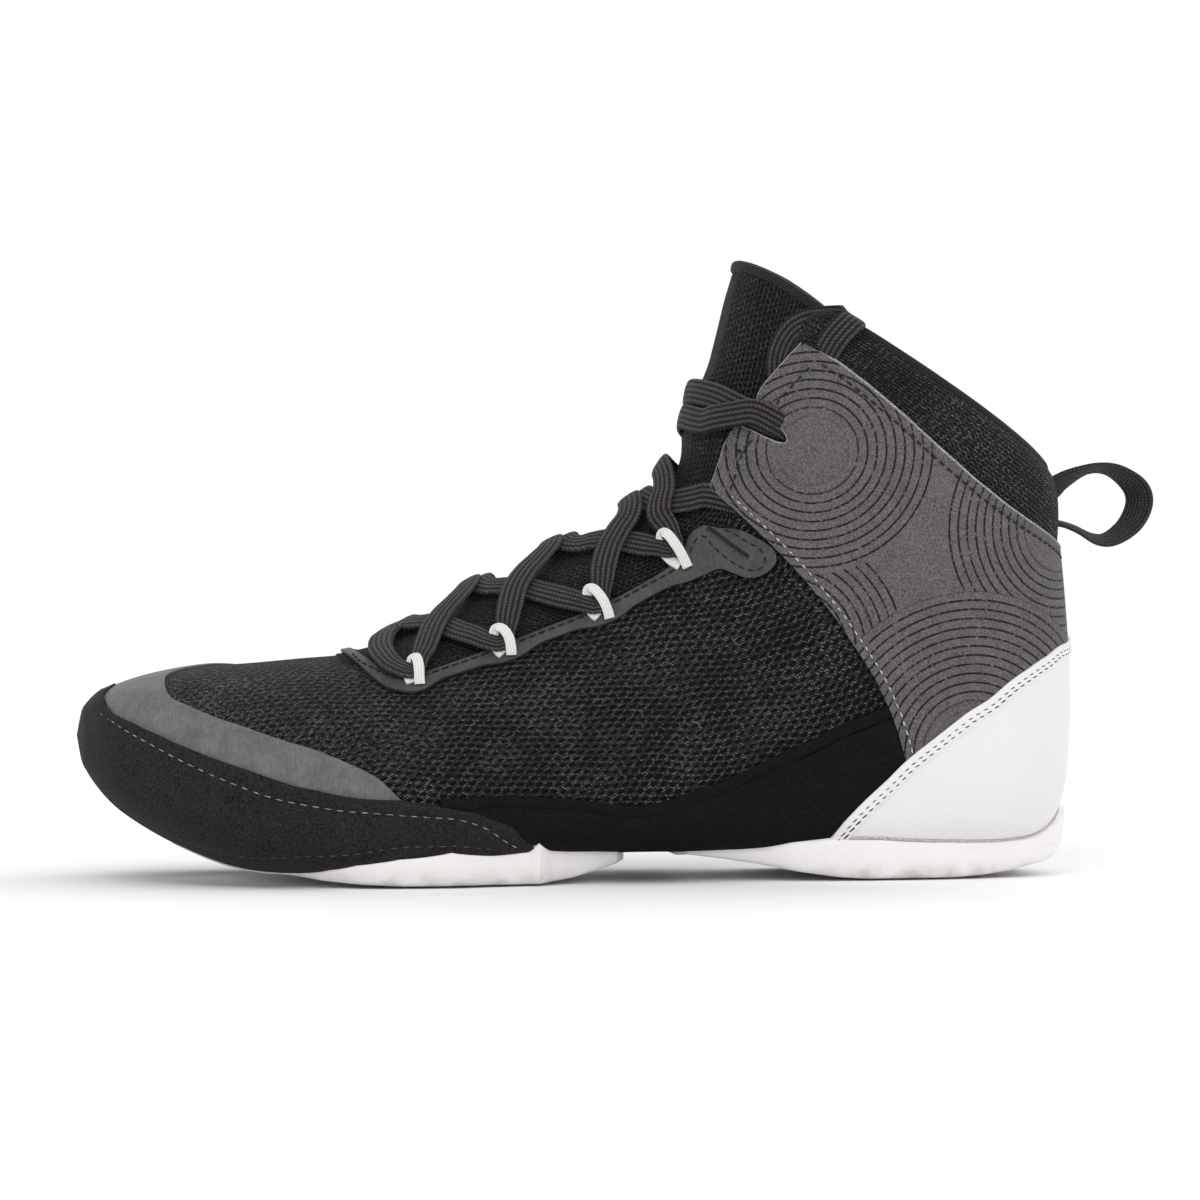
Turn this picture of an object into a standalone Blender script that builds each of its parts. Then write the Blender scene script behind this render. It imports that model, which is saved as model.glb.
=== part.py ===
import math

import bpy
import numpy as np

# Left wrestling boot, toe along minus X, lateral side along minus Y, all sizes in metres.
SHOE_LENGTH = 0.2845
BALL_WIDTH = 0.096
HEEL_WIDTH = 0.065
ANKLE_WIDTH = 0.073
ANKLE_HEIGHT = 0.176
COLLAR_HEIGHT = 0.1165
SOLE_THICKNESS = 0.0065
TOE_SPRING = 0.0135
ARCH_LIFT = 0.003
TOE_CAP_LENGTH = 0.042
TOE_OFFSET = 0.011
TOE_ROUNDNESS = 2.3

UPPER_WALL = 0.0024
CLEARANCE = 0.00045
OVERLAY_GAP = 0.0007
SOLE_GAP = 0.0009
WRAP_GAP = 0.0011
OVERLAY_THICKNESS = 0.0011
FILM_THICKNESS = 0.0008
COUNTER_THICKNESS = 0.0015
STRAP_THICKNESS = 0.0014
TONGUE_THICKNESS = 0.0048
TONGUE_EDGE = 0.0016
TONGUE_GAP = 0.0013
TONGUE_FORWARD = 0.0033
INSOLE_THICKNESS = 0.003
OUTSOLE_RIM = 0.0019
LACE_WIDTH = 0.0076
LACE_THICKNESS = 0.0016
LOOP_WIDTH = 0.0024
LOOP_THICKNESS = 0.0011
PULL_WIDTH = 0.012
PULL_THICKNESS = 0.0015
PULL_LENGTH = 0.0265

HALF_POINTS = 90
TABLE_ROWS = 10
TABLE_COLUMNS = 48

# Each row is one section, cut from its top point on the ridge to its low point on the sole or heel.
# top_x and low_x are shares of the length from the heel, top_z of the ankle height over the sole,
# lift of the toe spring, arch of the arch lift, back of the collar height over the sole.
# ball, heel and ankle share out the three widths, middle and lean are shares of the toe offset.
# widest tells how far down the section is widest, crown and base how square its two halves are.
COLUMNS = ("top_x", "top_z", "low_x", "lift", "arch", "back", "ball", "heel", "ankle",
           "middle", "lean", "widest", "crown", "base")
SECTIONS = (
    (1.000, .325, 1.000, 1.00, 0.0, .000, 0.78, 0.00, 0.00, 1.00, .00, .58, 2.50, 3.0),
    (0.950, .317, 0.950, 0.68, 0.0, .000, 0.81, 0.00, 0.00, 0.80, .00, .59, 2.50, 3.4),
    (0.900, .317, 0.900, 0.34, 0.0, .000, 0.86, 0.00, 0.00, 0.56, .05, .61, 2.40, 3.8),
    (0.840, .323, 0.840, -.04, 0.0, .000, 0.94, 0.00, 0.00, 0.33, .10, .64, 2.30, 4.2),
    (0.780, .332, 0.780, -.18, 0.0, .000, 0.99, 0.00, 0.00, 0.15, .20, .68, 2.20, 4.5),
    (0.731, .340, 0.730, -.19, 0.0, .000, 1.01, 0.00, 0.00, 0.04, .35, .72, 2.10, 4.6),
    (0.684, .363, 0.665, -.14, 0.1, .000, 0.98, 0.00, 0.00, -.13, .60, .76, 2.00, 4.6),
    (0.641, .400, 0.595, -.04, 0.5, .000, 0.90, 0.00, 0.00, -.30, .80, .79, 1.95, 4.4),
    (0.592, .447, 0.515, 0.00, 0.9, .000, 0.66, 0.18, 0.00, -.38, .85, .80, 1.90, 4.2),
    (0.530, .497, 0.420, 0.00, 1.0, .000, 0.28, 0.68, 0.00, -.24, .70, .81, 1.90, 4.2),
    (0.476, .543, 0.315, 0.00, 0.7, .000, 0.06, 0.95, 0.00, -.08, .50, .81, 1.90, 4.2),
    (0.428, .592, 0.200, 0.00, 0.2, .000, 0.00, 1.02, 0.00, 0.00, .35, .80, 1.90, 4.2),
    (0.400, .648, 0.105, 0.12, 0.0, .000, 0.00, 1.03, 0.00, 0.00, .20, .76, 1.90, 3.8),
    (0.387, .702, 0.040, 0.38, 0.0, .000, 0.00, 1.03, 0.00, 0.00, .10, .70, 1.95, 3.2),
    (0.379, .752, 0.010, 0.00, 0.0, .140, 0.00, 0.98, 0.05, 0.00, .00, .64, 2.00, 2.6),
    (0.373, .800, 0.001, 0.00, 0.0, .300, 0.00, 0.85, 0.18, 0.00, .00, .59, 2.00, 2.4),
    (0.366, .848, 0.000, 0.00, 0.0, .480, 0.00, 0.60, 0.42, 0.00, .00, .56, 2.00, 2.3),
    (0.358, .898, 0.004, 0.00, 0.0, .660, 0.00, 0.30, 0.71, 0.00, .00, .54, 2.00, 2.2),
    (0.350, .950, 0.010, 0.00, 0.0, .835, 0.00, 0.10, 0.90, 0.00, .00, .53, 2.00, 2.15),
    (0.341, 1.00, 0.015, 0.00, 0.0, 1.00, 0.00, 0.00, 1.00, 0.00, .00, .52, 2.00, 2.1),
    (0.333, 1.06, 0.018, 0.00, 0.0, 1.11, 0.00, 0.00, 1.00, 0.00, .00, .52, 2.00, 2.1),
)
LAST_SECTION = len(SECTIONS) - 1
TOPLINE = LAST_SECTION - 1

# Edges as (section, around): around is 0 on the ridge and 1 under the foot or at the back of the heel.
THROAT_LATERAL = ((5.10, .0), (5.15, .08), (5.3, .14), (5.55, .19), (5.9, .235), (6.4, .246), (7.8, .242),
                  (8.6, .231), (9.4, .215), (10.1, .192), (10.9, .173), (12.0, .165), (13.5, .166),
                  (15.0, .180), (17.0, .210), (18.3, .240), (18.7, .262), (19.0, .310))
THROAT_MEDIAL = ((5.10, .0), (5.15, .05), (5.3, .09), (5.55, .12), (5.9, .14), (6.4, .148), (7.8, .150),
                 (9.4, .150), (10.9, .150), (12.0, .150), (13.5, .158),
                 (15.0, .178), (17.0, .210), (18.3, .240), (18.7, .262), (19.0, .310))
WINDOW_EDGE = ((0.0, .80), (3.0, .78), (5.5, .775), (7.0, .80), (8.5, .83), (10.0, .86), (11.0, .88),
               (12.3, .905), (13.0, .92), (19.0, .93))
FORE_SOLE_EDGE = ((1.9, .86), (2.05, .79), (2.4, .74), (3.0, .695), (3.6, .674), (4.3, .664), (5.0, .667),
                  (6.0, .678), (6.9, .706), (7.35, .712), (7.5, .700), (7.65, .735), (7.9, .762),
                  (8.2, .785), (8.45, .81), (8.55, .86))
HEEL_SOLE_EDGE = ((9.1, .86), (9.2, .83), (9.5, .812), (9.9, .80), (10.2, .787), (11.0, .815), (11.9, .854),
                  (12.6, .898), (13.2, .930), (13.6, .949), (13.8, .962), (13.9, .976), (13.95, 1.0))
TOE_WRAP_TOP = ((0.45, .0), (0.5, .07), (0.58, .15), (0.7, .22), (0.84, .28), (1.1, .352), (1.9, .435),
                (2.9, .475), (3.8, .510), (4.8, .529), (5.55, .546), (6.1, .565), (6.7, .602), (7.15, .650),
                (7.4, .695), (7.46, .710))
ARCH_WRAP_TOP = ((6.2, .555), (7.1, .606), (8.15, .667), (8.8, .698), (9.5, .679), (10.0, .656),
                 (10.5, .625), (11.3, .590), (12.1, .583))
# Heel counter from its front tip to the back: top section, top around, low section, low around.
COUNTER = ((10.64, .787, 10.66, .793), (10.85, .762, 10.85, .802), (11.15, .726, 11.1, .811),
           (11.5, .693, 11.45, .826), (11.9, .673, 11.9, .845), (12.35, .662, 12.25, .866),
           (12.85, .658, 12.6, .889), (13.6, .683, 12.9, .905), (14.3, .717, 13.2, .921),
           (14.85, .765, 13.42, .931), (15.3, .812, 13.65, .941), (15.75, .867, 13.86, .955),
           (16.1, .922, 13.99, .970), (16.35, 1.0, 14.06, 1.0))
FILM_INNER = ((2.30, .0), (1.95, .06), (1.73, .13), (1.72, .22), (1.98, .293), (2.6, .355), (3.8, .422),
              (5.0, .474), (5.6, .520), (6.0, .548))
FILM_INNER_MEDIAL = ((2.30, .0), (2.75, -.07), (3.2, -.15), (3.7, -.24), (4.3, -.33), (4.9, -.41),
                     (5.4, -.465), (5.8, -.51), (6.0, -.548))
FILM_OUTER = ((0.53, .0), (0.62, .10), (0.82, .215), (1.1, .330), (1.5, .378), (2.0, .430), (3.0, .474),
              (4.2, .512), (5.2, .532), (6.0, .556))
# Eyestay: inner section, inner around, outer section, outer around.
EYESTAY = ((5.06, .000, 4.84, .000), (5.11, .083, 4.92, .100), (5.27, .145, 5.08, .175),
           (5.52, .195, 5.32, .240), (5.88, .240, 5.68, .285), (6.40, .250, 6.40, .290),
           (7.80, .246, 7.75, .288), (8.60, .235, 8.50, .274), (9.40, .219, 9.30, .260),
           (10.1, .196, 10.0, .238), (10.9, .177, 10.8, .214), (11.4, .170, 11.3, .212),
           (11.8, .169, 11.7, .262), (12.2, .169, 12.1, .270))
# Strap: share of the way up its front edge, around.
STRAP_FRONT = ((0.0, .112), (.15, .106), (.33, .121), (.355, .225), (.38, .240), (.52, .240), (.545, .225),
               (.57, .146), (.78, .192), (1.0, .248))
STRAP_LOW = ((.10, 12.50), (.25, 12.52), (.40, 12.45), (.55, 12.30), (.62, 12.24), (.645, 12.36))
STRAP_TOP = 17.9
LOOP_SECTIONS = (6.15, 7.90, 9.37, 10.85)
# Loose lace from the strap's top edge over the collar and down the tongue: section, around, lift.
LACE_END = ((18.2, .312, .0016), (18.7, .302, .0016), (19.1, .292, .0012), (19.32, .280, -.0008),
            (19.1, .252, -.0021), (18.75, .217, -.0024), (18.3, .190, -.0022), (17.6, .170, -.0013),
            (16.9, .158, -.0009), (16.6, .153, -.0008))
# Outsole underside: share of the length from the heel, share of the sole thickness over the floor.
FLOOR_GAP = ((-.02, 1.4), (.0, 1.05), (.03, .60), (.065, .28), (.10, .08), (.13, .0), (.22, .0), (.25, .09),
             (.29, .34), (.33, .68), (.37, .94), (.40, 1.10), (.43, 1.12), (.46, .92), (.49, .55),
             (.52, .20), (.55, .03), (.57, .0), (.69, .0), (.73, .07), (.77, .24), (.81, .52),
             (.85, .92), (.88, 1.30), (.91, 1.75), (.95, 2.4))

COLOURS = {
    "mesh": (.022, .023, .025, 1), "lining": (.015, .015, .016, 1), "insole": (.03, .03, .03, 1),
    "rubber": (.80, .79, .77, 1), "suede": (.012, .012, .013, 1), "film": (.075, .068, .066, 1),
    "microfibre": (.010, .010, .011, 1), "counter": (.83, .82, .84, 1), "strap": (.12, .11, .105, 1),
    "tape": (.85, .84, .82, 1), "lace": (.03, .028, .027, 1), "webbing": (.02, .02, .021, 1),
}


def along(rows, position):
    """Smooth curve through the rows of a table at fractional row numbers."""
    rows = np.asarray(rows, float)
    position = np.clip(np.asarray(position, float), 0, len(rows) - 1)
    i = np.minimum(position.astype(int), len(rows) - 2)
    t = (position - i)[..., None]
    a, b = rows[i], rows[i + 1]
    before = np.where((i > 0)[..., None], rows[np.maximum(i - 1, 0)], 2 * a - b)
    after = np.where((i + 2 < len(rows))[..., None], rows[np.minimum(i + 2, len(rows) - 1)], 2 * b - a)
    bend = 2 * before - 5 * a + 4 * b - after + t * (3 * (a - b) + after - before)
    return a + .5 * t * (b - before + t * bend)


def at(table, value):
    """Second column of a table against its first."""
    keys, values = zip(*table)
    return np.interp(value, keys, values)


def half_ring(row, side):
    """One half of a section from the ridge down, side minus one is lateral."""
    v = dict(zip(COLUMNS, along(SECTIONS, row)))
    top = np.array([v["top_x"] * SHOE_LENGTH, SOLE_THICKNESS + v["top_z"] * (ANKLE_HEIGHT - SOLE_THICKNESS)])
    low_z = v["lift"] * TOE_SPRING + v["arch"] * ARCH_LIFT + v["back"] * (COLLAR_HEIGHT - SOLE_THICKNESS)
    low = np.array([v["low_x"] * SHOE_LENGTH, SOLE_THICKNESS + low_z])
    half = .5 * (v["ball"] * BALL_WIDTH + v["heel"] * HEEL_WIDTH + v["ankle"] * ANKLE_WIDTH)
    into = min(1.0, max(0.0, 1 - (SHOE_LENGTH - low[0]) / TOE_CAP_LENGTH))
    close = max(0.0, 1 - into ** TOE_ROUNDNESS) ** (1 / TOE_ROUNDNESS)
    middle = .5 * (top + low)
    top = middle + close * (top - middle)
    low = middle + close * (low - middle)
    a = np.linspace(0, math.pi / 2, HALF_POINTS)
    widest, crown, base = v["widest"], v["crown"], v["base"]
    fall = np.concatenate([widest * (1 - np.cos(a) ** (2 / crown)),
                           (widest + (1 - widest) * np.sin(a) ** (2 / base))[1:]])
    reach = np.concatenate([np.sin(a) ** (2 / crown), (np.cos(a) ** (2 / base))[1:]])
    flat = top + fall[:, None] * (low - top)
    y = TOE_OFFSET * (v["middle"] + v["lean"] * (1 - fall)) + side * close * half * reach
    return np.stack([SHOE_LENGTH / 2 - flat[:, 0], y, flat[:, 1]], 1)


def make_table():
    """Points and outward directions of the whole form, evenly spaced around each section."""
    points = []
    for row in np.arange(LAST_SECTION * TABLE_ROWS + 1) / TABLE_ROWS:
        ring = []
        for side in (-1, 1):
            line = half_ring(row, side)
            run = np.concatenate([[0], np.cumsum(np.linalg.norm(np.diff(line, axis=0), axis=1))])
            share = run / run[-1] if run[-1] > 0 else np.linspace(0, 1, len(run))
            want = np.linspace(0, 1, TABLE_COLUMNS + 1)
            even = np.stack([np.interp(want, share, line[:, k]) for k in range(3)], 1)
            ring.append(even[:-1] if side < 0 else even[::-1][:-1])
        points.append(np.concatenate(ring))
    points = np.array(points)
    down = np.gradient(points, axis=0)
    around = np.roll(points, -1, axis=1) - np.roll(points, 1, axis=1)
    outward = np.cross(around, down)
    outward[0] = (-1, 0, 0)
    size = np.linalg.norm(outward, axis=2, keepdims=True)
    outward = outward / np.maximum(size, 1e-15)
    lateral = outward[60, TABLE_COLUMNS // 2]
    if lateral[1] > 0:
        outward[1:] *= -1
    return points, outward


TABLE, OUTWARD = make_table()


def sample(grid, section, around):
    """Smooth value of a table of the form, around wraps every 2."""
    section, around = np.broadcast_arrays(np.asarray(section, float), np.asarray(around, float))
    row = np.clip(section * TABLE_ROWS, 0, len(grid) - 1)
    column = (around % 2) * TABLE_COLUMNS
    i = np.minimum(row.astype(int), len(grid) - 2)
    j = column.astype(int)
    s, t = (row - i)[..., None], (column - j)[..., None]

    def line(r):
        r = np.clip(r, 0, len(grid) - 1)
        p = [grid[r, (j + k) % (2 * TABLE_COLUMNS)] for k in (-1, 0, 1, 2)]
        bend = 2 * p[0] - 5 * p[1] + 4 * p[2] - p[3] + t * (3 * (p[1] - p[2]) + p[3] - p[0])
        return p[1] + .5 * t * (p[2] - p[0] + t * bend)

    p = [line(i + k) for k in (-1, 0, 1, 2)]
    bend = 2 * p[0] - 5 * p[1] + 4 * p[2] - p[3] + s * (3 * (p[1] - p[2]) + p[3] - p[0])
    return p[1] + .5 * s * (p[2] - p[0] + s * bend)


def form(section, around, offset=0.0):
    """Point of the form pushed out by an offset."""
    outward = sample(OUTWARD, section, around)
    outward = outward / np.linalg.norm(outward, axis=-1, keepdims=True)
    return sample(TABLE, section, around) + np.asarray(offset, float)[..., None] * outward


def material(name):
    """Plain material of one colour."""
    made = bpy.data.materials.get(name)
    if made is None:
        made = bpy.data.materials.new(name)
        made.use_nodes = True
        shader = made.node_tree.nodes["Principled BSDF"]
        shader.inputs["Base Color"].default_value = COLOURS[name]
        shader.inputs["Roughness"].default_value = 0.7
    return made


def body(name, points, faces, slot):
    """Object from triangles with welded points, turned so that it faces out."""
    points = np.asarray(points, float)
    seen, index = {}, []
    for p in np.round(points / 2e-7).astype(np.int64):
        index.append(seen.setdefault(tuple(p), len(seen)))
    first = np.zeros(len(seen), int)
    for k in range(len(index) - 1, -1, -1):
        first[index[k]] = k
    places = points[first]
    kept = []
    for face in faces:
        f = [index[k] for k in face]
        if len(set(f)) == 3:
            kept.append(f)
    t = places[np.array(kept)]
    volume = np.einsum("ij,ij->i", t[:, 0], np.cross(t[:, 1], t[:, 2])).sum()
    if volume < 0:
        kept = [f[::-1] for f in kept]
    mesh = bpy.data.meshes.new(name)
    mesh.from_pydata(places.tolist(), [], kept)
    mesh.materials.append(material(slot))
    made = bpy.data.objects.new(name, mesh)
    bpy.context.scene.collection.objects.link(made)
    return made


def shell(name, outer, inner, slot, keep=None):
    """Closed body between two grids of points, keep says which cells are there."""
    n, m = outer.shape[:2]
    points = np.concatenate([outer.reshape(-1, 3), inner.reshape(-1, 3)])
    keys = np.round(points / 2e-7).astype(np.int64)
    seen, index = {}, []
    for k, p in enumerate(keys):
        index.append(seen.setdefault((k >= n * m,) + tuple(p), k))
    faces, edges = [], {}
    for i in range(n - 1):
        for j in range(m - 1):
            if keep is not None and not keep[i][j]:
                continue
            a, b = i * m + j, (i + 1) * m + j
            for tri in ((a, b, b + 1), (a, b + 1, a + 1)):
                t = [index[k] for k in tri]
                if len(set(t)) < 3:
                    continue
                faces.append(t)
                faces.append([index[k + n * m] for k in tri][::-1])
                for p, q, r, s in zip(t, t[1:] + t[:1], tri, tri[1:] + tri[:1]):
                    edges[(p, q)] = (r, s)
    for (p, q), (r, s) in edges.items():
        if (q, p) in edges:
            continue
        u, w = index[r + n * m], index[s + n * m]
        faces.append([q, p, u])
        faces.append([q, u, w])
    return body(name, points, faces, slot)


def wrapped(rows, lateral, medial, stops):
    """Section and around grids that open between two edges; stops are shares from edge to centre."""
    section, around = [], []
    for row in rows:
        a, b = float(lateral(row)), float(medial(row))
        turn = float(at(WINDOW_EDGE, row))
        near = [a + (turn - a) * s if s <= 1 else turn + (1 - turn) * (s - 1) for s in stops]
        far = [2 - (b + (turn - b) * s if s <= 1 else turn + (1 - turn) * (s - 1)) for s in stops]
        around.append(near + far[::-1][1:])
        section.append([row] * len(around[-1]))
    return np.array(section), np.array(around)


def make_upper():
    rows = (0, .1, .3, .55, 1, 1.5, 2, 2.5, 3.1, 3.7, 4.3, 4.8, 5.1, 5.15, 5.3, 5.55, 5.9, 6.4, 7.0, 7.6, 8.2,
            8.8, 9.4, 10.0, 10.5, 11, 11.5, 12.0, 12.5, 13, 13.5, 14.1, 15, 16, 17, 17.8, 18.4, 18.75, 19)
    stops = (0, .13, .26, .39, .52, .65, .76, .85, .92, 1, 1.4, 2)
    section, around = wrapped(rows, lambda r: at(THROAT_LATERAL, r) if r > 5.1 else 0,
                              lambda r: at(THROAT_MEDIAL, r) if r > 5.1 else 0, stops)
    outer = form(section, around)
    inner = form(section, around, -UPPER_WALL)
    inner[0] = inner[0, 0]
    centre = stops.index(1)
    columns = around.shape[1] - 1
    keep = np.ones((len(rows) - 1, columns), bool)
    for i, row in enumerate(rows[:-1]):
        if 2.5 <= row < 7.0 or 10.0 <= row < 12.0:
            keep[i, centre:columns - centre] = False
    return shell("upper", outer, inner, "mesh", keep)


def outsole(name, rows, edge, window):
    """Cup sole: follows the form on top with a raised floor in the window, flat below."""
    gap = .0038
    stops = (0, .3, .65, 1 + gap, 1 + 1.2 * gap, 1.33, 1.66, 2)
    drop = np.array((1, .80, .42, .14, .0, .0, .0, .0))
    width = np.array((1, .995, .975, .94, .88, .70, .40, 0))
    section, around, top_offset, outer = [], [], [], []
    for row in rows:
        e = float(edge(row))
        turn = max(float(at(WINDOW_EDGE, row)), e + .3 * (1 - e))
        inside = window[0] < row < window[1]
        half, lift = [], []
        for s in stops:
            if s <= 1:
                half.append(e + (turn - e) * s)
            else:
                half.append(turn + (1 - turn) * min(1, s - 1))
            lift.append(-UPPER_WALL if inside and s >= 1 + 1.2 * gap else SOLE_GAP)
        near = np.array(half)
        line = np.concatenate([near, (2 - near)[::-1][1:]])
        section.append([row] * len(line))
        around.append(line)
        top_offset.append(lift + lift[::-1][1:])
        ends = form(np.array([row, row, row]), np.array([e, 1.0, 2 - e]), np.full(3, SOLE_GAP + OUTSOLE_RIM))
        facing = sample(OUTWARD, row, 1.0)
        sink = min(1, max(0, (-facing[2] / np.linalg.norm(facing) - .35) / .5))
        sink = sink * sink * (3 - 2 * sink)
        share = (SHOE_LENGTH / 2 - ends[1, 0]) / SHOE_LENGTH
        centre = ends[1].copy()
        centre[2] = (1 - sink) * centre[2] + sink * min(centre[2], at(FLOOR_GAP, share) * SOLE_THICKNESS)
        pieces = []
        for end in (ends[0], ends[2]):
            p = np.empty((len(stops), 3))
            p[:, :2] = centre[:2] + width[:, None] * (end[:2] - centre[:2])
            floor = at(FLOOR_GAP, (SHOE_LENGTH / 2 - p[:, 0]) / SHOE_LENGTH) * SOLE_THICKNESS
            low = (1 - sink) * centre[2] + sink * np.minimum(centre[2] + .002, floor)
            p[:, 2] = low + drop * (end[2] - low)
            pieces.append(p)
        pieces[1][-1] = pieces[0][-1]
        outer.append(np.concatenate([pieces[0], pieces[1][::-1][1:]]))
    inner = form(np.array(section), np.array(around), np.array(top_offset))
    return shell(name, np.array(outer), inner, "rubber")


def make_outsoles():
    step = .035
    fore = (1.9, 2.05, 2.5, 2.5 + step, 2.5 + 1.2 * step, 3.0, 3.6, 4.3, 5.2, 6.2, 6.8, 7.0 - 1.2 * step,
            7.0 - step, 7.15, 7.35, 7.5, 7.65, 7.9, 8.2, 8.45, 8.55)
    made = outsole("outsole_forefoot", fore, lambda r: at(FORE_SOLE_EDGE, r),
                   (2.5 + 1.1 * step, 7.0 - 1.1 * step))
    heel = (9.1, 9.2, 9.5, 9.8, 10.0, 10.0 + step, 10.0 + 1.2 * step, 10.4, 10.9, 11.4, 12.0 - 1.2 * step,
            12.0 - step, 12.3, 12.7, 13.1, 13.4, 13.65, 13.8, 13.9, 13.95)
    return made, outsole("outsole_heel", heel, lambda r: at(HEEL_SOLE_EDGE, r),
                         (10.0 + 1.1 * step, 12.0 - 1.1 * step))


def make_toe_wrap():
    rows = (0, .1, .3, .45, .5, .58, .7, .84, 1, 1.5, 1.85, 1.9, 2.05, 2.5, 3.0, 3.6, 4.3, 5.2, 6.2, 6.8,
            7.15, 7.35)
    stops = (0, .14, .28, .42, .56, .70, .85, 1)
    section, around = [], []
    for row in rows:
        top = float(at(TOE_WRAP_TOP, row)) if row > .45 else 0.0
        low = float(at(FORE_SOLE_EDGE, max(row, 1.9))) - .009
        near = [top + (low - top) * s for s in stops] + [low + (1 - low) * s for s in (.5, 1)]
        around.append(near + [2 - v for v in near[::-1][1:]])
        section.append([row] * len(around[-1]))
    section, around = np.array(section), np.array(around)
    outer = form(section, around, WRAP_GAP + OVERLAY_THICKNESS)
    inner = form(section, around, WRAP_GAP)
    outer[0], inner[0] = outer[0, 0], inner[0, 0]
    keep = np.ones((len(rows) - 1, around.shape[1] - 1), bool)
    for i, row in enumerate(rows[:-1]):
        if row >= 1.85:
            keep[i, len(stops) - 1:1 - len(stops)] = False
    return shell("toe_wrap", outer, inner, "suede", keep)


def band(first, second, count, across):
    """Section and around grids between two edges, evenly spaced along them."""
    ends = []
    for table in (first, second):
        table = np.asarray(table, float)
        ends.append(along(table, np.linspace(0, len(table) - 1, count)))
    grid = ends[0][:, None] + np.asarray(across)[None, :, None] * (ends[1] - ends[0])[:, None]
    return grid[..., 0], grid[..., 1]


def both_sides(table, other=None):
    """Table of the lateral side continued over the ridge to the medial side."""
    return list(other or [(s, -v) for s, v in table])[::-1] + list(table[1:])


def make_toe_film():
    section, around = band(both_sides(FILM_OUTER), both_sides(FILM_INNER, FILM_INNER_MEDIAL), 27, (0, .33, .67, 1))
    return shell("toe_film", form(section, around, OVERLAY_GAP + FILM_THICKNESS),
                 form(section, around, OVERLAY_GAP), "film")


def make_arch_wrap():
    rows = (6.7, 7.1, 7.35, 7.46, 7.65, 7.9, 8.2, 8.45, 8.62, 8.82, 9.02, 9.1, 9.5, 10.0, 10.35, 10.64,
            10.85, 11.15, 11.5, 11.9)
    edge = ((6.7, .595), (7.1, .637), (7.35, .680), (7.46, .688), (7.65, .724), (7.9, .751), (8.2, .774),
            (8.45, .799), (8.62, .85), (9.02, .85), (9.1, .822), (9.5, .802), (9.9, .790), (10.2, .777),
            (10.35, .782),
            (10.64, .779), (10.85, .754), (11.15, .718), (11.5, .685), (11.9, .665))
    section, around = [], []
    for row in rows:
        top, low = float(at(ARCH_WRAP_TOP, row)), float(at(edge, row))
        near = [top + (low - top) * s for s in (0, .3, .55, .78, 1)] + [low + (1 - low) * s for s in (.33, .67, 1)]
        around.append(near + [2 - v for v in near[::-1][1:]])
        section.append([row] * len(around[-1]))
    section, around = np.array(section), np.array(around)
    keep = np.ones((len(rows) - 1, around.shape[1] - 1), bool)
    for i, row in enumerate(rows[:-1]):
        if not 8.6 < row < 9.0:
            keep[i, 4:-4] = False
    return shell("arch_wrap", form(section, around, WRAP_GAP + OVERLAY_THICKNESS),
                 form(section, around, WRAP_GAP), "microfibre", keep)


def make_counter():
    top = [(a - .03, b + .004) for a, b, c, d in COUNTER[:-1]] + [(COUNTER[-1][0] - .03, 1.0)]
    low = [(c, d) for a, b, c, d in COUNTER]
    top += [(s, 2 - v) for s, v in top[-2::-1]]
    low += [(s, 2 - v) for s, v in low[-2::-1]]
    top, low = np.array(top)[:, None], np.array(low)[:, None]
    grid = low + np.linspace(0, 1, 6)[None, :, None] * (top - low)
    section, around = grid[..., 0], grid[..., 1]
    return shell("heel_counter", form(section, around, OVERLAY_GAP + COUNTER_THICKNESS),
                 form(section, around, OVERLAY_GAP), "counter")


def make_strap():
    low = list(STRAP_LOW) + [(row[1], row[0]) for row in COUNTER[6:]]
    spots = (.112, .16, .21, .27, .34, .42, .50, .58) + tuple(v for v, s in low[5:])
    climb = (0, .17, .33, .355, .44, .52, .57, .78, 1)
    section, around = [], []
    for q in climb:
        front = float(at(STRAP_FRONT, q))
        v = np.array([front + (1 - front) * (p - .112) / (1 - .112) for p in spots])
        base = np.interp(v if q else np.array(spots), *zip(*low))
        s = base + q * (STRAP_TOP - base)
        section.append(np.concatenate([s, s[::-1][1:]]))
        around.append(np.concatenate([v, (2 - v)[::-1][1:]]))
    section, around = np.array(section), np.array(around)
    return shell("ankle_strap", form(section, around, OVERLAY_GAP + STRAP_THICKNESS),
                 form(section, around, OVERLAY_GAP), "strap")


def make_eyestay():
    first, second = [], []
    for a, b, c, d in EYESTAY[::-1]:
        first.append((a, b))
        second.append((c, d))
    for a, b, c, d in EYESTAY[1:]:
        share = at(THROAT_MEDIAL, max(a, 5.15)) / at(THROAT_LATERAL, max(a, 5.15))
        first.append((a, -b * share))
        second.append((c, -(b * share + d - b)))
    section, around = band(first, second, 31, (0, .5, 1))
    return shell("eyestay", form(section, around, OVERLAY_GAP + FILM_THICKNESS),
                 form(section, around, OVERLAY_GAP), "film")


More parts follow.
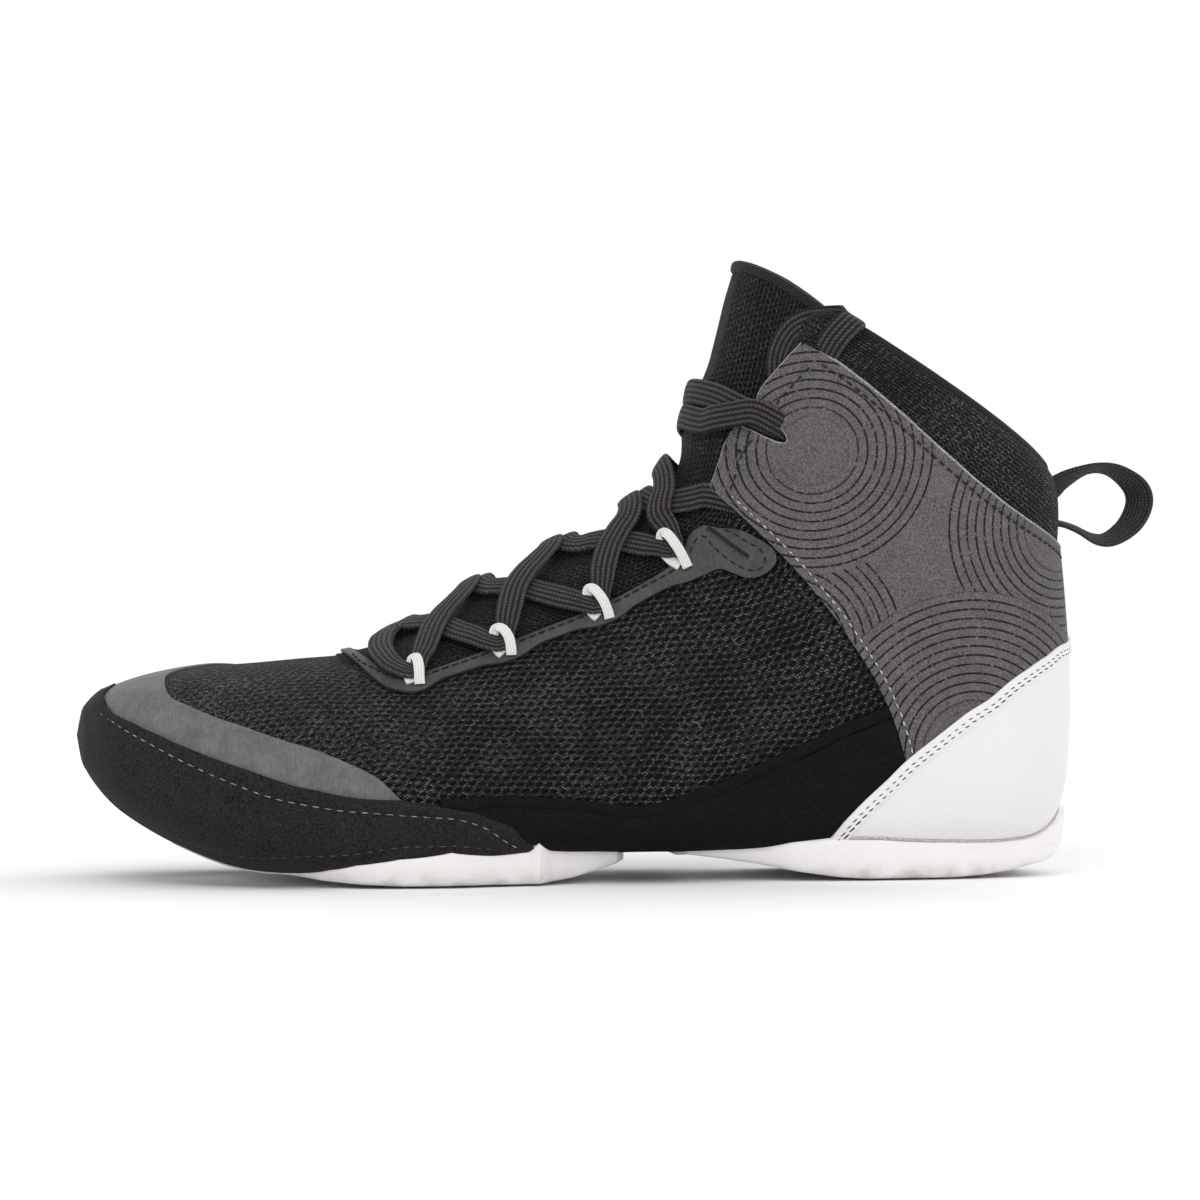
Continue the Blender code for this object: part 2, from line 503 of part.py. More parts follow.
def make_tongue():
    rows = (4.75, 5.0, 5.4, 6.0, 6.8, 7.6, 8.4, 9.2, 10.0, 10.8, 11.6, 12.4, 13.2, 14.2, 15.5, 17, 18.2, 19, 19.5)
    across = np.linspace(-1, 1, 11)
    reach = ((4.75, .13), (5.2, .17), (6.0, .21), (8.0, .22), (12.0, .22), (15.0, .27), (19.0, .32))
    section, around = [], []
    for row in rows:
        spread = float(at(reach, row))
        centre = .5 * (at(THROAT_LATERAL, row) - at(THROAT_MEDIAL, row)) if row > 5.1 else 0
        line = centre + across * (spread + (.04 if row < 12 else .0))
        section.append(row - .45 * np.abs(across) ** 3 * max(0, (row - 18) / 1.5))
        around.append(line)
    section, around = np.array(section), np.array(around)
    edge = 1 - np.abs(across) ** 4
    depth = TONGUE_EDGE + (TONGUE_THICKNESS - TONGUE_EDGE) * edge[None, :]
    depth = depth * np.clip(.4 + (section - 4.75) * .8, .4, 1)
    # over the ankle the pad comes forward between the two throat edges
    middle = np.abs(around) / .155
    forward = TONGUE_FORWARD * np.clip((section - 12.4) / 1.4, 0, 1) * np.clip(1 - middle ** 2.5, 0, 1)
    face = forward - UPPER_WALL - TONGUE_GAP
    return shell("tongue", form(section, around, face), form(section, around, face - depth), "lining")


def make_insole():
    rows = (1.2, 1.6, 2.1, 2.8, 3.6, 4.5, 5.4, 6.3, 7.2, 8.1, 9.0, 9.9, 10.8, 11.6, 12.3)
    reach = ((1.2, .15), (1.6, .22), (2.1, .26), (3.0, .28), (5.0, .285), (6.5, .265), (8.0, .215), (10.0, .168),
             (11.5, .13), (12.3, .08))
    across = np.linspace(-1, 1, 7)
    section = np.array([[row] * 7 for row in rows])
    around = np.array([1 + across * at(reach, row) for row in rows])
    face = -UPPER_WALL - OVERLAY_GAP
    return shell("insole", form(section, around, face), form(section, around, face - INSOLE_THICKNESS), "insole")


def ribbon(path, sides, width, thickness):
    """Flat strip along a path; sides point across the strip."""
    path, sides = np.asarray(path, float), np.asarray(sides, float)
    ahead = np.gradient(path, axis=0)
    sides = sides - ahead * (np.einsum("ij,ij->i", sides, ahead) / np.einsum("ij,ij->i", ahead, ahead))[:, None]
    sides /= np.linalg.norm(sides, axis=1, keepdims=True)
    lift = np.cross(ahead, sides)
    lift /= np.linalg.norm(lift, axis=1, keepdims=True)
    ring = [path + .5 * (a * width * sides + b * thickness * lift) for a, b in ((-1, -1), (1, -1), (1, 1), (-1, 1))]
    points = np.stack(ring, 1).reshape(-1, 3)
    faces = []
    for i in range(len(path) - 1):
        for k in range(4):
            a, b, c, d = 4 * i + k, 4 * i + (k + 1) % 4, 4 * i + 4 + (k + 1) % 4, 4 * i + 4 + k
            faces += [(a, b, c), (a, c, d)]
    end = 4 * (len(path) - 1)
    faces += [(0, 2, 1), (0, 3, 2), (end, end + 1, end + 2), (end, end + 2, end + 3)]
    return points, faces


def strand(start, stop, start_lift, stop_lift, hump, count=8):
    """Strip of lace over the tongue from one (section, around) to another."""
    t = np.linspace(0, 1, count)
    section = start[0] + t * (stop[0] - start[0])
    around = start[1] + t * (stop[1] - start[1])
    lift = start_lift + t * (stop_lift - start_lift) + hump * np.exp(-((t - .5) / .17) ** 2)
    path = form(section, around, lift)
    facing = sample(OUTWARD, section, around)
    sides = np.cross(np.gradient(path, axis=0), facing)
    return ribbon(path, sides, LACE_WIDTH, LACE_THICKNESS)


def joined(name, parts, slot):
    """Union of closed strips into one body."""
    made = [body(name + "_" + str(k), p, f, slot) for k, (p, f) in enumerate(parts)]
    base = made[0]
    for other in made[1:]:
        cut = base.modifiers.new("join", "BOOLEAN")
        cut.operation = "UNION"
        cut.solver = "EXACT"
        cut.object = other
    seen = base.evaluated_get(bpy.context.evaluated_depsgraph_get())
    mesh = bpy.data.meshes.new_from_object(seen)
    mesh.name = name
    whole = bpy.data.objects.new(name, mesh)
    for extra in made:
        bpy.data.objects.remove(extra)
    bpy.context.scene.collection.objects.link(whole)
    return whole


def edges_at(section):
    return float(at(THROAT_LATERAL, section)), float(at(THROAT_MEDIAL, section))


def make_laces():
    low, high = -.0014, .0014
    tuck = .035
    made = []
    first = LOOP_SECTIONS[0]
    a, b = edges_at(first)
    bar = strand((first - .12, a - tuck), (first - .12, tuck - b), high, high, .0004)
    made.append(joined("lace_bar", [bar], "lace"))
    for k, (one, two) in enumerate(zip(LOOP_SECTIONS, LOOP_SECTIONS[1:])):
        a, b = edges_at(one)
        c, d = edges_at(two)
        parts = [strand((one, a - tuck), (two, tuck - d), low, high, -.0003),
                 strand((one, tuck - b), (two, c - tuck), low, high, .0011)]
        made.append(joined("lace_cross_%d" % (k + 1), parts, "lace"))
    one = LOOP_SECTIONS[-1]
    a, b = edges_at(one)
    parts = [strand((one, a - tuck), (12.3, -.105), low, .0002, -.0003),
             strand((one, tuck - b), (12.3, .105), low, .0002, .0011)]
    made.append(joined("lace_cross_4", parts, "lace"))
    made.append(joined("lace_front", [strand((14.9, .165), (14.9, -.165), .0012, .0012, .0008, 11)], "lace"))
    return made


def make_lace_end():
    t = along(LACE_END, np.linspace(0, len(LACE_END) - 1, 22))
    path = form(t[:, 0], t[:, 1], t[:, 2])
    sides = form(t[:, 0], t[:, 1] + .01) - form(t[:, 0], t[:, 1] - .01)
    body("lace_end", *ribbon(path, sides, LACE_WIDTH, LACE_THICKNESS), "lace")


def make_loops():
    for side, word in ((1, "lateral"), (-1, "medial")):
        for k, row in enumerate(LOOP_SECTIONS):
            edge = edges_at(row)[0 if side > 0 else 1]
            spots = ((-.15, .028, .0024), (-.14, .004, .0030), (-.10, -.03, .0036), (-.06, -.058, .0038),
                     (.06, -.058, .0038), (.10, -.03, .0036), (.14, .004, .0030), (.15, .028, .0024))
            t = along(spots, np.linspace(0, len(spots) - 1, 9))
            section, around = row + t[:, 0], side * (edge + t[:, 1])
            path = form(section, around, t[:, 2])
            sides = np.cross(sample(OUTWARD, section, around), np.gradient(path, axis=0))
            body("loop_%s_%d" % (word, k + 1), *ribbon(path, sides, LOOP_WIDTH, LOOP_THICKNESS), "tape")


def make_pull_loop():
    foot = form(18.12, 1.0, OVERLAY_GAP)
    head = form(18.86, 1.0, OVERLAY_GAP)
    # share of the length out from the heel, share of the way up, slant
    spots = ((0, 0, 0), (.14, .0, .1), (.30, -.12, .3), (.45, -.36, .5), (.56, -.47, .6), (.66, -.42, .6),
             (.84, -.14, .5), (.97, .28, .4), (1.0, .75, .3), (.88, 1.12, .2), (.65, 1.36, .1),
             (.42, 1.42, .0), (.21, 1.34, 0), (.07, 1.15, 0), (.0, 1.0, 0))
    t = along(spots, np.linspace(0, len(spots) - 1, 22))
    path = foot + t[:, 1:2] * (head - foot) + t[:, 0:1] * np.array([PULL_LENGTH, 0, 0])
    sides = np.stack([np.zeros(len(t)), np.ones(len(t)), .5 * t[:, 2]], 1)
    return body("pull_loop", *ribbon(path, sides, PULL_WIDTH, PULL_THICKNESS), "webbing")


def main():
    for old in list(bpy.data.objects):
        bpy.data.objects.remove(old)
    make_upper()
    make_outsoles()
    make_toe_wrap()
    make_toe_film()
    make_arch_wrap()
    make_counter()
    make_strap()
    make_eyestay()
    make_tongue()
    make_insole()
    make_laces()
    make_lace_end()
    make_loops()
    make_pull_loop()
    bpy.context.view_layer.update()
    corners = np.concatenate([np.array([o.matrix_world @ v.co for v in o.data.vertices])
                              for o in bpy.data.objects if o.type == "MESH"])
    low, high = corners.min(0), corners.max(0)
    frame = bpy.data.objects.new("frame", None)
    bpy.context.scene.collection.objects.link(frame)
    for made in bpy.data.objects:
        if made.type == "MESH":
            made.parent = frame
    frame.location = (-.5 * (low[0] + high[0]), -.5 * (low[1] + high[1]), -low[2])
    print("size", high - low, "triangles", sum(len(o.data.polygons) for o in bpy.data.objects if o.type == "MESH"))


main()
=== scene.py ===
import math

import bmesh
import bpy
import numpy as np
from mathutils import Matrix, Vector


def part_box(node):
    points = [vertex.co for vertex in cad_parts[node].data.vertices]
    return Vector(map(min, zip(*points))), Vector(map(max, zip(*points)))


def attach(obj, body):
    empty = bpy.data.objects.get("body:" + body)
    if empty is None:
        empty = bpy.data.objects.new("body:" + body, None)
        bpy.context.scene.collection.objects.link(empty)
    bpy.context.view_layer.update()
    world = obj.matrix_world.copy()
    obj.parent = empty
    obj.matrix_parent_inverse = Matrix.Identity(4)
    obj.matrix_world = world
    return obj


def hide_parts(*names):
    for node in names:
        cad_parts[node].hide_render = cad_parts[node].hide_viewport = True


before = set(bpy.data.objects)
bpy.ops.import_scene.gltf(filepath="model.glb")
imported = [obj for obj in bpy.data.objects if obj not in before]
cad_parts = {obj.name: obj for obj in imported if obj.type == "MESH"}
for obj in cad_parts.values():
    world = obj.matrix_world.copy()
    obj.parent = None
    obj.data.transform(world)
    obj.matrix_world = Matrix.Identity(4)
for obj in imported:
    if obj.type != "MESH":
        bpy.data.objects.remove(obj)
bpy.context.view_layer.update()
print("frame loaded")

# the last of the shoe, sizes in metres; rows run from the toe tip (0) to the top line (19)
last = {
    "length": .2845, "ball": .096, "heel": .065, "ankle": .073,
    "ankleHeight": .176, "collarHeight": .1165, "sole": .0065,
    "toeSpring": .0135, "archLift": .003, "toeCap": .042, "toeOffset": .011, "toeRoundness": 2.3,
    "wall": .0024, "ringPoints": 90, "rowsPerSection": 10, "columnsPerHalf": 48,
}
lastColumns = ("topX", "topZ", "lowX", "lift", "arch", "back", "ball", "heel", "ankle",
               "middle", "lean", "widest", "crown", "base")
lastRows = (
    (1.000, .325, 1.000, 1.00, 0.0, .000, 0.78, 0.00, 0.00, 1.00, .00, .58, 2.50, 3.0),
    (0.950, .317, 0.950, 0.68, 0.0, .000, 0.81, 0.00, 0.00, 0.80, .00, .59, 2.50, 3.4),
    (0.900, .317, 0.900, 0.34, 0.0, .000, 0.86, 0.00, 0.00, 0.56, .05, .61, 2.40, 3.8),
    (0.840, .323, 0.840, -.04, 0.0, .000, 0.94, 0.00, 0.00, 0.33, .10, .64, 2.30, 4.2),
    (0.780, .332, 0.780, -.18, 0.0, .000, 0.99, 0.00, 0.00, 0.15, .20, .68, 2.20, 4.5),
    (0.731, .340, 0.730, -.19, 0.0, .000, 1.01, 0.00, 0.00, 0.04, .35, .72, 2.10, 4.6),
    (0.684, .363, 0.665, -.14, 0.1, .000, 0.98, 0.00, 0.00, -.13, .60, .76, 2.00, 4.6),
    (0.641, .400, 0.595, -.04, 0.5, .000, 0.90, 0.00, 0.00, -.30, .80, .79, 1.95, 4.4),
    (0.592, .447, 0.515, 0.00, 0.9, .000, 0.66, 0.18, 0.00, -.38, .85, .80, 1.90, 4.2),
    (0.530, .497, 0.420, 0.00, 1.0, .000, 0.28, 0.68, 0.00, -.24, .70, .81, 1.90, 4.2),
    (0.476, .543, 0.315, 0.00, 0.7, .000, 0.06, 0.95, 0.00, -.08, .50, .81, 1.90, 4.2),
    (0.428, .592, 0.200, 0.00, 0.2, .000, 0.00, 1.02, 0.00, 0.00, .35, .80, 1.90, 4.2),
    (0.400, .648, 0.105, 0.12, 0.0, .000, 0.00, 1.03, 0.00, 0.00, .20, .76, 1.90, 3.8),
    (0.387, .702, 0.040, 0.38, 0.0, .000, 0.00, 1.03, 0.00, 0.00, .10, .70, 1.95, 3.2),
    (0.379, .752, 0.010, 0.00, 0.0, .140, 0.00, 0.98, 0.05, 0.00, .00, .64, 2.00, 2.6),
    (0.373, .800, 0.001, 0.00, 0.0, .300, 0.00, 0.85, 0.18, 0.00, .00, .59, 2.00, 2.4),
    (0.366, .848, 0.000, 0.00, 0.0, .480, 0.00, 0.60, 0.42, 0.00, .00, .56, 2.00, 2.3),
    (0.358, .898, 0.004, 0.00, 0.0, .660, 0.00, 0.30, 0.71, 0.00, .00, .54, 2.00, 2.2),
    (0.350, .950, 0.010, 0.00, 0.0, .835, 0.00, 0.10, 0.90, 0.00, .00, .53, 2.00, 2.15),
    (0.341, 1.00, 0.015, 0.00, 0.0, 1.00, 0.00, 0.00, 1.00, 0.00, .00, .52, 2.00, 2.1),
    (0.333, 1.06, 0.018, 0.00, 0.0, 1.11, 0.00, 0.00, 1.00, 0.00, .00, .52, 2.00, 2.1),
)

# edges as (section, around): around is 0 on the ridge, 1 under the foot or at the back, below 0 medial
throatLateral = ((5.10, .0), (5.15, .08), (5.3, .14), (5.55, .19), (5.9, .235), (6.4, .246), (7.8, .242),
                 (8.6, .231), (9.4, .215), (10.1, .192), (10.9, .173), (12.0, .165), (13.5, .166),
                 (15.0, .180), (17.0, .210), (18.3, .240), (18.7, .262), (19.0, .310))
throatMedial = ((5.10, .0), (5.15, .05), (5.3, .09), (5.55, .12), (5.9, .14), (6.4, .148), (7.8, .150),
                (9.4, .150), (10.9, .150), (12.0, .150), (13.5, .158),
                (15.0, .178), (17.0, .210), (18.3, .240), (18.7, .262), (19.0, .310))
soleWindow = ((0.0, .80), (3.0, .78), (5.5, .775), (7.0, .80), (8.5, .83), (10.0, .86), (11.0, .88),
              (12.3, .905), (13.0, .92), (19.0, .93))
foreSoleEdge = ((1.9, .95), (2.2, .90), (2.6, .84), (3.0, .785), (3.4, .745), (3.88, .708), (4.32, .676),
                (4.84, .657), (5.52, .650), (6.28, .658), (6.9, .695), (7.35, .712), (7.5, .700),
                (7.65, .735), (7.9, .762), (8.2, .785), (8.45, .81), (8.55, .86))
heelSoleEdge = ((9.1, .86), (9.2, .83), (9.5, .812), (9.9, .80), (10.2, .785), (10.56, .780), (11.0, .790),
                (11.76, .822), (12.64, .868), (13.2, .905), (13.6, .932), (13.8, .955), (13.9, .976),
                (13.95, 1.0))
sides = ((1, "lateral"), (-1, "medial"))


def along(rows, position):  # smooth curve through the rows of a table
    rows = np.asarray(rows, float)
    position = np.clip(np.asarray(position, float), 0, len(rows) - 1)
    i = np.minimum(position.astype(int), len(rows) - 2)
    t = (position - i)[..., None]
    a, b = rows[i], rows[i + 1]
    before = np.where((i > 0)[..., None], rows[np.maximum(i - 1, 0)], 2 * a - b)
    after = np.where((i + 2 < len(rows))[..., None], rows[np.minimum(i + 2, len(rows) - 1)], 2 * b - a)
    bend = 2 * before - 5 * a + 4 * b - after + t * (3 * (a - b) + after - before)
    return a + .5 * t * (b - before + t * bend)


def at(table, value):  # second column of a table against its first
    keys, values = zip(*table)
    return np.interp(value, keys, values)


def smooth(low, high, value):  # 0 below low, 1 above high
    t = np.clip((np.asarray(value, float) - low) / (high - low), 0, 1)
    return t * t * (3 - 2 * t)


def runAlong(points):  # metres from the first point along a line of points
    return np.concatenate([[0], np.cumsum(np.linalg.norm(np.diff(points, axis=0), axis=1))])


def unit(vectors):
    return vectors / np.linalg.norm(vectors, axis=-1, keepdims=True)


def squareTo(ahead, vectors):  # the part of each vector that is square to the line's direction
    return unit(vectors - ahead * np.sum(vectors * ahead, axis=1, keepdims=True))


def boxy(wave, power):  # sine or cosine made boxier, 1 leaves it as it is
    return np.sign(wave) * np.abs(wave) ** power


def halfOf(t):  # 0 at both edges of a piece, 1 at its middle underneath or at the back
    return np.where(t < .5, 2 * t, 2 - 2 * t)


def halfRing(row, side):  # one half of a section from the ridge down
    v = dict(zip(lastColumns, along(lastRows, row)))
    sole, length = last["sole"], last["length"]
    top = np.array([v["topX"] * length, sole + v["topZ"] * (last["ankleHeight"] - sole)])
    lowZ = (v["lift"] * last["toeSpring"] + v["arch"] * last["archLift"]
            + v["back"] * (last["collarHeight"] - sole))
    low = np.array([v["lowX"] * length, sole + lowZ])
    half = .5 * (v["ball"] * last["ball"] + v["heel"] * last["heel"] + v["ankle"] * last["ankle"])
    into = min(1.0, max(0.0, 1 - (length - low[0]) / last["toeCap"]))
    close = max(0.0, 1 - into ** last["toeRoundness"]) ** (1 / last["toeRoundness"])
    middle = .5 * (top + low)
    top = middle + close * (top - middle)
    low = middle + close * (low - middle)
    a = np.linspace(0, math.pi / 2, last["ringPoints"])
    widest, crown, base = v["widest"], v["crown"], v["base"]
    fall = np.concatenate([widest * (1 - np.cos(a) ** (2 / crown)),
                           (widest + (1 - widest) * np.sin(a) ** (2 / base))[1:]])
    reach = np.concatenate([np.sin(a) ** (2 / crown), (np.cos(a) ** (2 / base))[1:]])
    flat = top + fall[:, None] * (low - top)
    y = last["toeOffset"] * (v["middle"] + v["lean"] * (1 - fall)) + side * close * half * reach
    return np.stack([length / 2 - flat[:, 0], y, flat[:, 1]], 1)


def lastGrid():  # points of the whole form and their outward directions
    points = []
    columns = last["columnsPerHalf"]
    for row in np.arange((len(lastRows) - 1) * last["rowsPerSection"] + 1) / last["rowsPerSection"]:
        ring = []
        for side in (-1, 1):
            line = halfRing(row, side)
            run = runAlong(line)
            share = run / run[-1] if run[-1] > 0 else np.linspace(0, 1, len(run))
            want = np.linspace(0, 1, columns + 1)
            even = np.stack([np.interp(want, share, line[:, k]) for k in range(3)], 1)
            ring.append(even[:-1] if side < 0 else even[::-1][:-1])
        points.append(np.concatenate(ring))
    points = np.array(points)
    outward = np.cross(np.roll(points, -1, axis=1) - np.roll(points, 1, axis=1), np.gradient(points, axis=0))
    outward[0] = (-1, 0, 0)
    outward /= np.maximum(np.linalg.norm(outward, axis=2, keepdims=True), 1e-15)
    if outward[60, columns // 2, 1] > 0:  # the lateral side faces -Y
        outward[1:] *= -1
    return points, outward


formGrid, outwardGrid = lastGrid()
loopLow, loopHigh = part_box("pull_loop")
# the solids stand with the middle of their box at the origin, the last has its own
formGrid += np.array([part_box("upper")[0].x + last["length"] / 2, (loopLow.y + loopHigh.y) / 2, 0])


def sample(grid, u, v):  # smooth value of a table of the form, around wraps every 2
    u, v = np.broadcast_arrays(np.asarray(u, float), np.asarray(v, float))
    columns = last["columnsPerHalf"]
    row = np.clip(u * last["rowsPerSection"], 0, len(grid) - 1)
    column = (v % 2) * columns
    i = np.minimum(row.astype(int), len(grid) - 2)
    j = column.astype(int)
    s, t = (row - i)[..., None], (column - j)[..., None]

    def line(r):
        r = np.clip(r, 0, len(grid) - 1)
        p = [grid[r, (j + k) % (2 * columns)] for k in (-1, 0, 1, 2)]
        bend = 2 * p[0] - 5 * p[1] + 4 * p[2] - p[3] + t * (3 * (p[1] - p[2]) + p[3] - p[0])
        return p[1] + .5 * t * (p[2] - p[0] + t * bend)

    p = [line(i + k) for k in (-1, 0, 1, 2)]
    bend = 2 * p[0] - 5 * p[1] + 4 * p[2] - p[3] + s * (3 * (p[1] - p[2]) + p[3] - p[0])
    return p[1] + .5 * s * (p[2] - p[0] + s * bend)


def facing(u, v):  # direction out of the form
    return unit(sample(outwardGrid, u, v))


def form(u, v, lift=0.0):  # point of the form pushed out by a lift
    return sample(formGrid, u, v) + np.asarray(lift, float)[..., None] * facing(u, v)


def runGrid(axes, start):  # length along each section, from the ridge or from the back, medial side negative
    columns = last["columnsPerHalf"]
    ring = np.concatenate([formGrid, formGrid[:, :1]], axis=1)[..., axes]
    run = np.array([runAlong(line) for line in ring])
    if start == "ridge":
        far = run[:, columns:] - run[:, -1:]
        return np.concatenate([run[:, :columns], far[:, :columns]], axis=1)[..., None]
    return (run - run[:, columns:columns + 1])[:, :-1, None]


girthGrid = runGrid([1, 2], "ridge")
backGrid = runGrid([0, 1], "back")


def lengthwise(u, v):  # pattern place in mm: along the shoe, and down from the ridge
    total = sample(girthGrid, u, np.full(np.shape(u), .8))[..., 0]
    settle = smooth(5, 10, u) * (.085 - total)
    return np.stack([form(u, v)[..., 0], sample(girthGrid, u, v)[..., 0] + settle], -1) * 1000


def wrapwise(u, v):  # pattern place in mm: round the ankle from the back, and up
    return np.stack([sample(backGrid, u, v)[..., 0], form(u, v)[..., 2]], -1) * 1000


print("last worked out")


def feed(tree, socket, value):
    if isinstance(value, bpy.types.NodeSocket):
        tree.links.new(value, socket)
    else:
        socket.default_value = value


def node(tree, kind, settings=None, **inputs):
    made = tree.nodes.new("ShaderNode" + kind)
    for key, value in (settings or {}).items():
        setattr(made, key, value)
    for key, value in inputs.items():
        feed(tree, made.inputs[key.replace("_", " ")], value)
    return made


def maths(tree, operation, first, second=0.0, third=0.0):
    made = node(tree, "Math", {"operation": operation})
    for socket, value in zip(made.inputs, (first, second, third)):
        feed(tree, socket, value)
    return made.outputs[0]


def blendColour(tree, share, first, second):
    made = node(tree, "Mix", {"data_type": "RGBA"})
    feed(tree, made.inputs[0], share)
    feed(tree, made.inputs[6], first if isinstance(first, bpy.types.NodeSocket) else (*first, 1))
    feed(tree, made.inputs[7], second if isinstance(second, bpy.types.NodeSocket) else (*second, 1))
    return made.outputs[2]


def step(tree, value, low, high, first=0.0, last=1.0):  # soft step, low may be above high
    return node(tree, "MapRange", {"interpolation_type": "SMOOTHSTEP"}, Value=value, From_Min=low,
                From_Max=high, To_Min=first, To_Max=last).outputs[0]


def grain(tree, size, detail=3.0, stretch=(1, 1, 1)):  # noise whose blotches are about size metres wide
    place = node(tree, "TexCoord").outputs["Object"]
    place = node(tree, "Mapping", Vector=place, Scale=stretch).outputs[0]
    return node(tree, "TexNoise", Vector=place, Scale=1 / size, Detail=detail).outputs["Fac"]


def pattern(tree):  # the piece's own map, in mm
    split = node(tree, "SeparateXYZ", Vector=node(tree, "UVMap", {"uv_map": "UVMap"}).outputs[0])
    return split.outputs[0], split.outputs[1]


def newFinish(name, roughness, specular, sheen=0.0, coat=0.0):
    made = bpy.data.materials.new(name)
    made.use_nodes = True
    tree = made.node_tree
    shader = tree.nodes["Principled BSDF"]
    shader.inputs["Roughness"].default_value = roughness
    shader.inputs["Specular IOR Level"].default_value = specular
    shader.inputs["Sheen Weight"].default_value = sheen
    shader.inputs["Sheen Roughness"].default_value = .45
    shader.inputs["Coat Weight"].default_value = coat
    shader.inputs["Coat Roughness"].default_value = .35
    return made, tree, shader


def dress(tree, shader, colour, height, depth):  # joins colour and relief to the shader, depth in metres
    feed(tree, shader.inputs["Base Color"], colour)
    bump = node(tree, "Bump", Strength=1.0, Distance=depth, Height=height)
    feed(tree, shader.inputs["Normal"], bump.outputs[0])


def ripple(tree, value, pitch, lean=0.0):  # 0 to 1 wave of a coordinate
    turn = maths(tree, "MULTIPLY_ADD", value, 2 * math.pi / pitch, lean)
    return maths(tree, "MULTIPLY_ADD", maths(tree, "SINE", turn), .5, .5)


# open mesh: rows of long holes between knitted threads
meshLook = {"pitch": 2.75, "rowPitch": 1.85, "holeLength": .36, "holeHeight": .30, "threadPitch": .74,
            "thread": (.182, .187, .194), "ground": (.0062, .0066, .0072), "hole": (.0012, .0012, .0014),
            "wander": .9, "depth": .0006}


def knitMesh(name, look):
    made, tree, shader = newFinish(name, .8, .14, sheen=.03)
    u, v = pattern(tree)
    wander = grain(tree, .022, 1.0)
    v = maths(tree, "MULTIPLY_ADD", maths(tree, "SUBTRACT", wander, .5), look["wander"] * 4, v)
    row = maths(tree, "FLOOR", maths(tree, "DIVIDE", v, look["rowPitch"]))
    shove = maths(tree, "MULTIPLY", maths(tree, "FLOORED_MODULO", row, 2.0), .5)
    x = maths(tree, "FRACT", maths(tree, "MULTIPLY_ADD", u, 1 / look["pitch"], shove))
    y = maths(tree, "FRACT", maths(tree, "DIVIDE", v, look["rowPitch"]))
    x = maths(tree, "SUBTRACT", x, .5)
    y = maths(tree, "SUBTRACT", y, .5)
    lean = maths(tree, "MULTIPLY_ADD", x, look.get("lean", .35), y)
    far = maths(tree, "ADD", maths(tree, "POWER", maths(tree, "DIVIDE", x, look["holeLength"]), 2.0),
                maths(tree, "POWER", maths(tree, "DIVIDE", lean, look["holeHeight"]), 2.0))
    size = step(tree, grain(tree, .012, 1.0), .3, .7, .75, 1.45)
    if look.get("toeFine"):
        size = maths(tree, "MULTIPLY", size, step(tree, u, -110.0, -40.0, .62, 1.1))
    hole = step(tree, maths(tree, "DIVIDE", far, size), 1.35, .55)
    zig = maths(tree, "ABSOLUTE", maths(tree, "SUBTRACT", maths(tree, "FRACT", maths(
        tree, "DIVIDE", u, look["threadPitch"] * 2)), .5))
    thread = ripple(tree, maths(tree, "MULTIPLY_ADD", zig, look["threadPitch"] * 1.6, v), look["threadPitch"])
    speck = step(tree, grain(tree, .0008, 2.0), .46, .64)
    shine = maths(tree, "MULTIPLY", maths(tree, "POWER", thread, 2.0),
                  maths(tree, "MULTIPLY_ADD", speck, .88, .12))
    broad = step(tree, grain(tree, .016, 2.0), .3, .75, .72, 1.15)
    colour = blendColour(tree, maths(tree, "MULTIPLY", shine, broad), look["ground"], look["thread"])
    colour = blendColour(tree, hole, colour, look["hole"])
    height = maths(tree, "SUBTRACT", maths(tree, "MULTIPLY", thread, .35), maths(tree, "MULTIPLY", hole, 1.0))
    dress(tree, shader, colour, height, look["depth"])
    return made


def suede(name, dark, light, blotch, relief, sheen):
    made, tree, shader = newFinish(name, .95, .08, sheen=sheen)
    fine = step(tree, grain(tree, blotch, 4.0), .3, .7)
    broad = grain(tree, blotch * 14, 3.0)
    share = maths(tree, "MULTIPLY_ADD", fine, .75, maths(tree, "MULTIPLY", broad, .35))
    dress(tree, shader, blendColour(tree, share, dark, light), grain(tree, blotch * .8, 4.0), relief)
    return made, tree, shader


def film(name, look):
    made, tree, shader = newFinish(name, look["roughness"], .32)
    u, v = pattern(tree)
    weave = maths(tree, "MULTIPLY", ripple(tree, u, look["pitch"]), ripple(tree, v, look["pitch"] * .8))
    cloud = step(tree, grain(tree, .006, 4.0), .25, .75)
    fleck = step(tree, grain(tree, .0009, 3.0, (1, 1, .35)), .35, .7)
    share = maths(tree, "MULTIPLY_ADD", weave, .45, maths(tree, "MULTIPLY_ADD", fleck, .25, maths(
        tree, "MULTIPLY", cloud, .3)))
    height = maths(tree, "MULTIPLY_ADD", fleck, .3, weave)
    dress(tree, shader, blendColour(tree, share, look["dark"], look["light"]), height, look["depth"])
    return made


def leather(name, base, shade, crease, depth, roughness, specular, coat=0.0):
    made, tree, shader = newFinish(name, roughness, specular, coat=coat)
    place = node(tree, "TexCoord").outputs["Object"]
    cells = node(tree, "TexVoronoi", {"feature": "DISTANCE_TO_EDGE"}, Vector=place, Scale=1 / crease)
    pore = step(tree, cells.outputs[0], 0.0, .18)
    cloud = grain(tree, .03, 2.0)
    height = maths(tree, "MULTIPLY_ADD", pore, .5, maths(tree, "MULTIPLY", grain(tree, .008, 3.0), .8))
    dress(tree, shader, blendColour(tree, maths(tree, "MULTIPLY", cloud, .5), base, shade), height, depth)
    return made


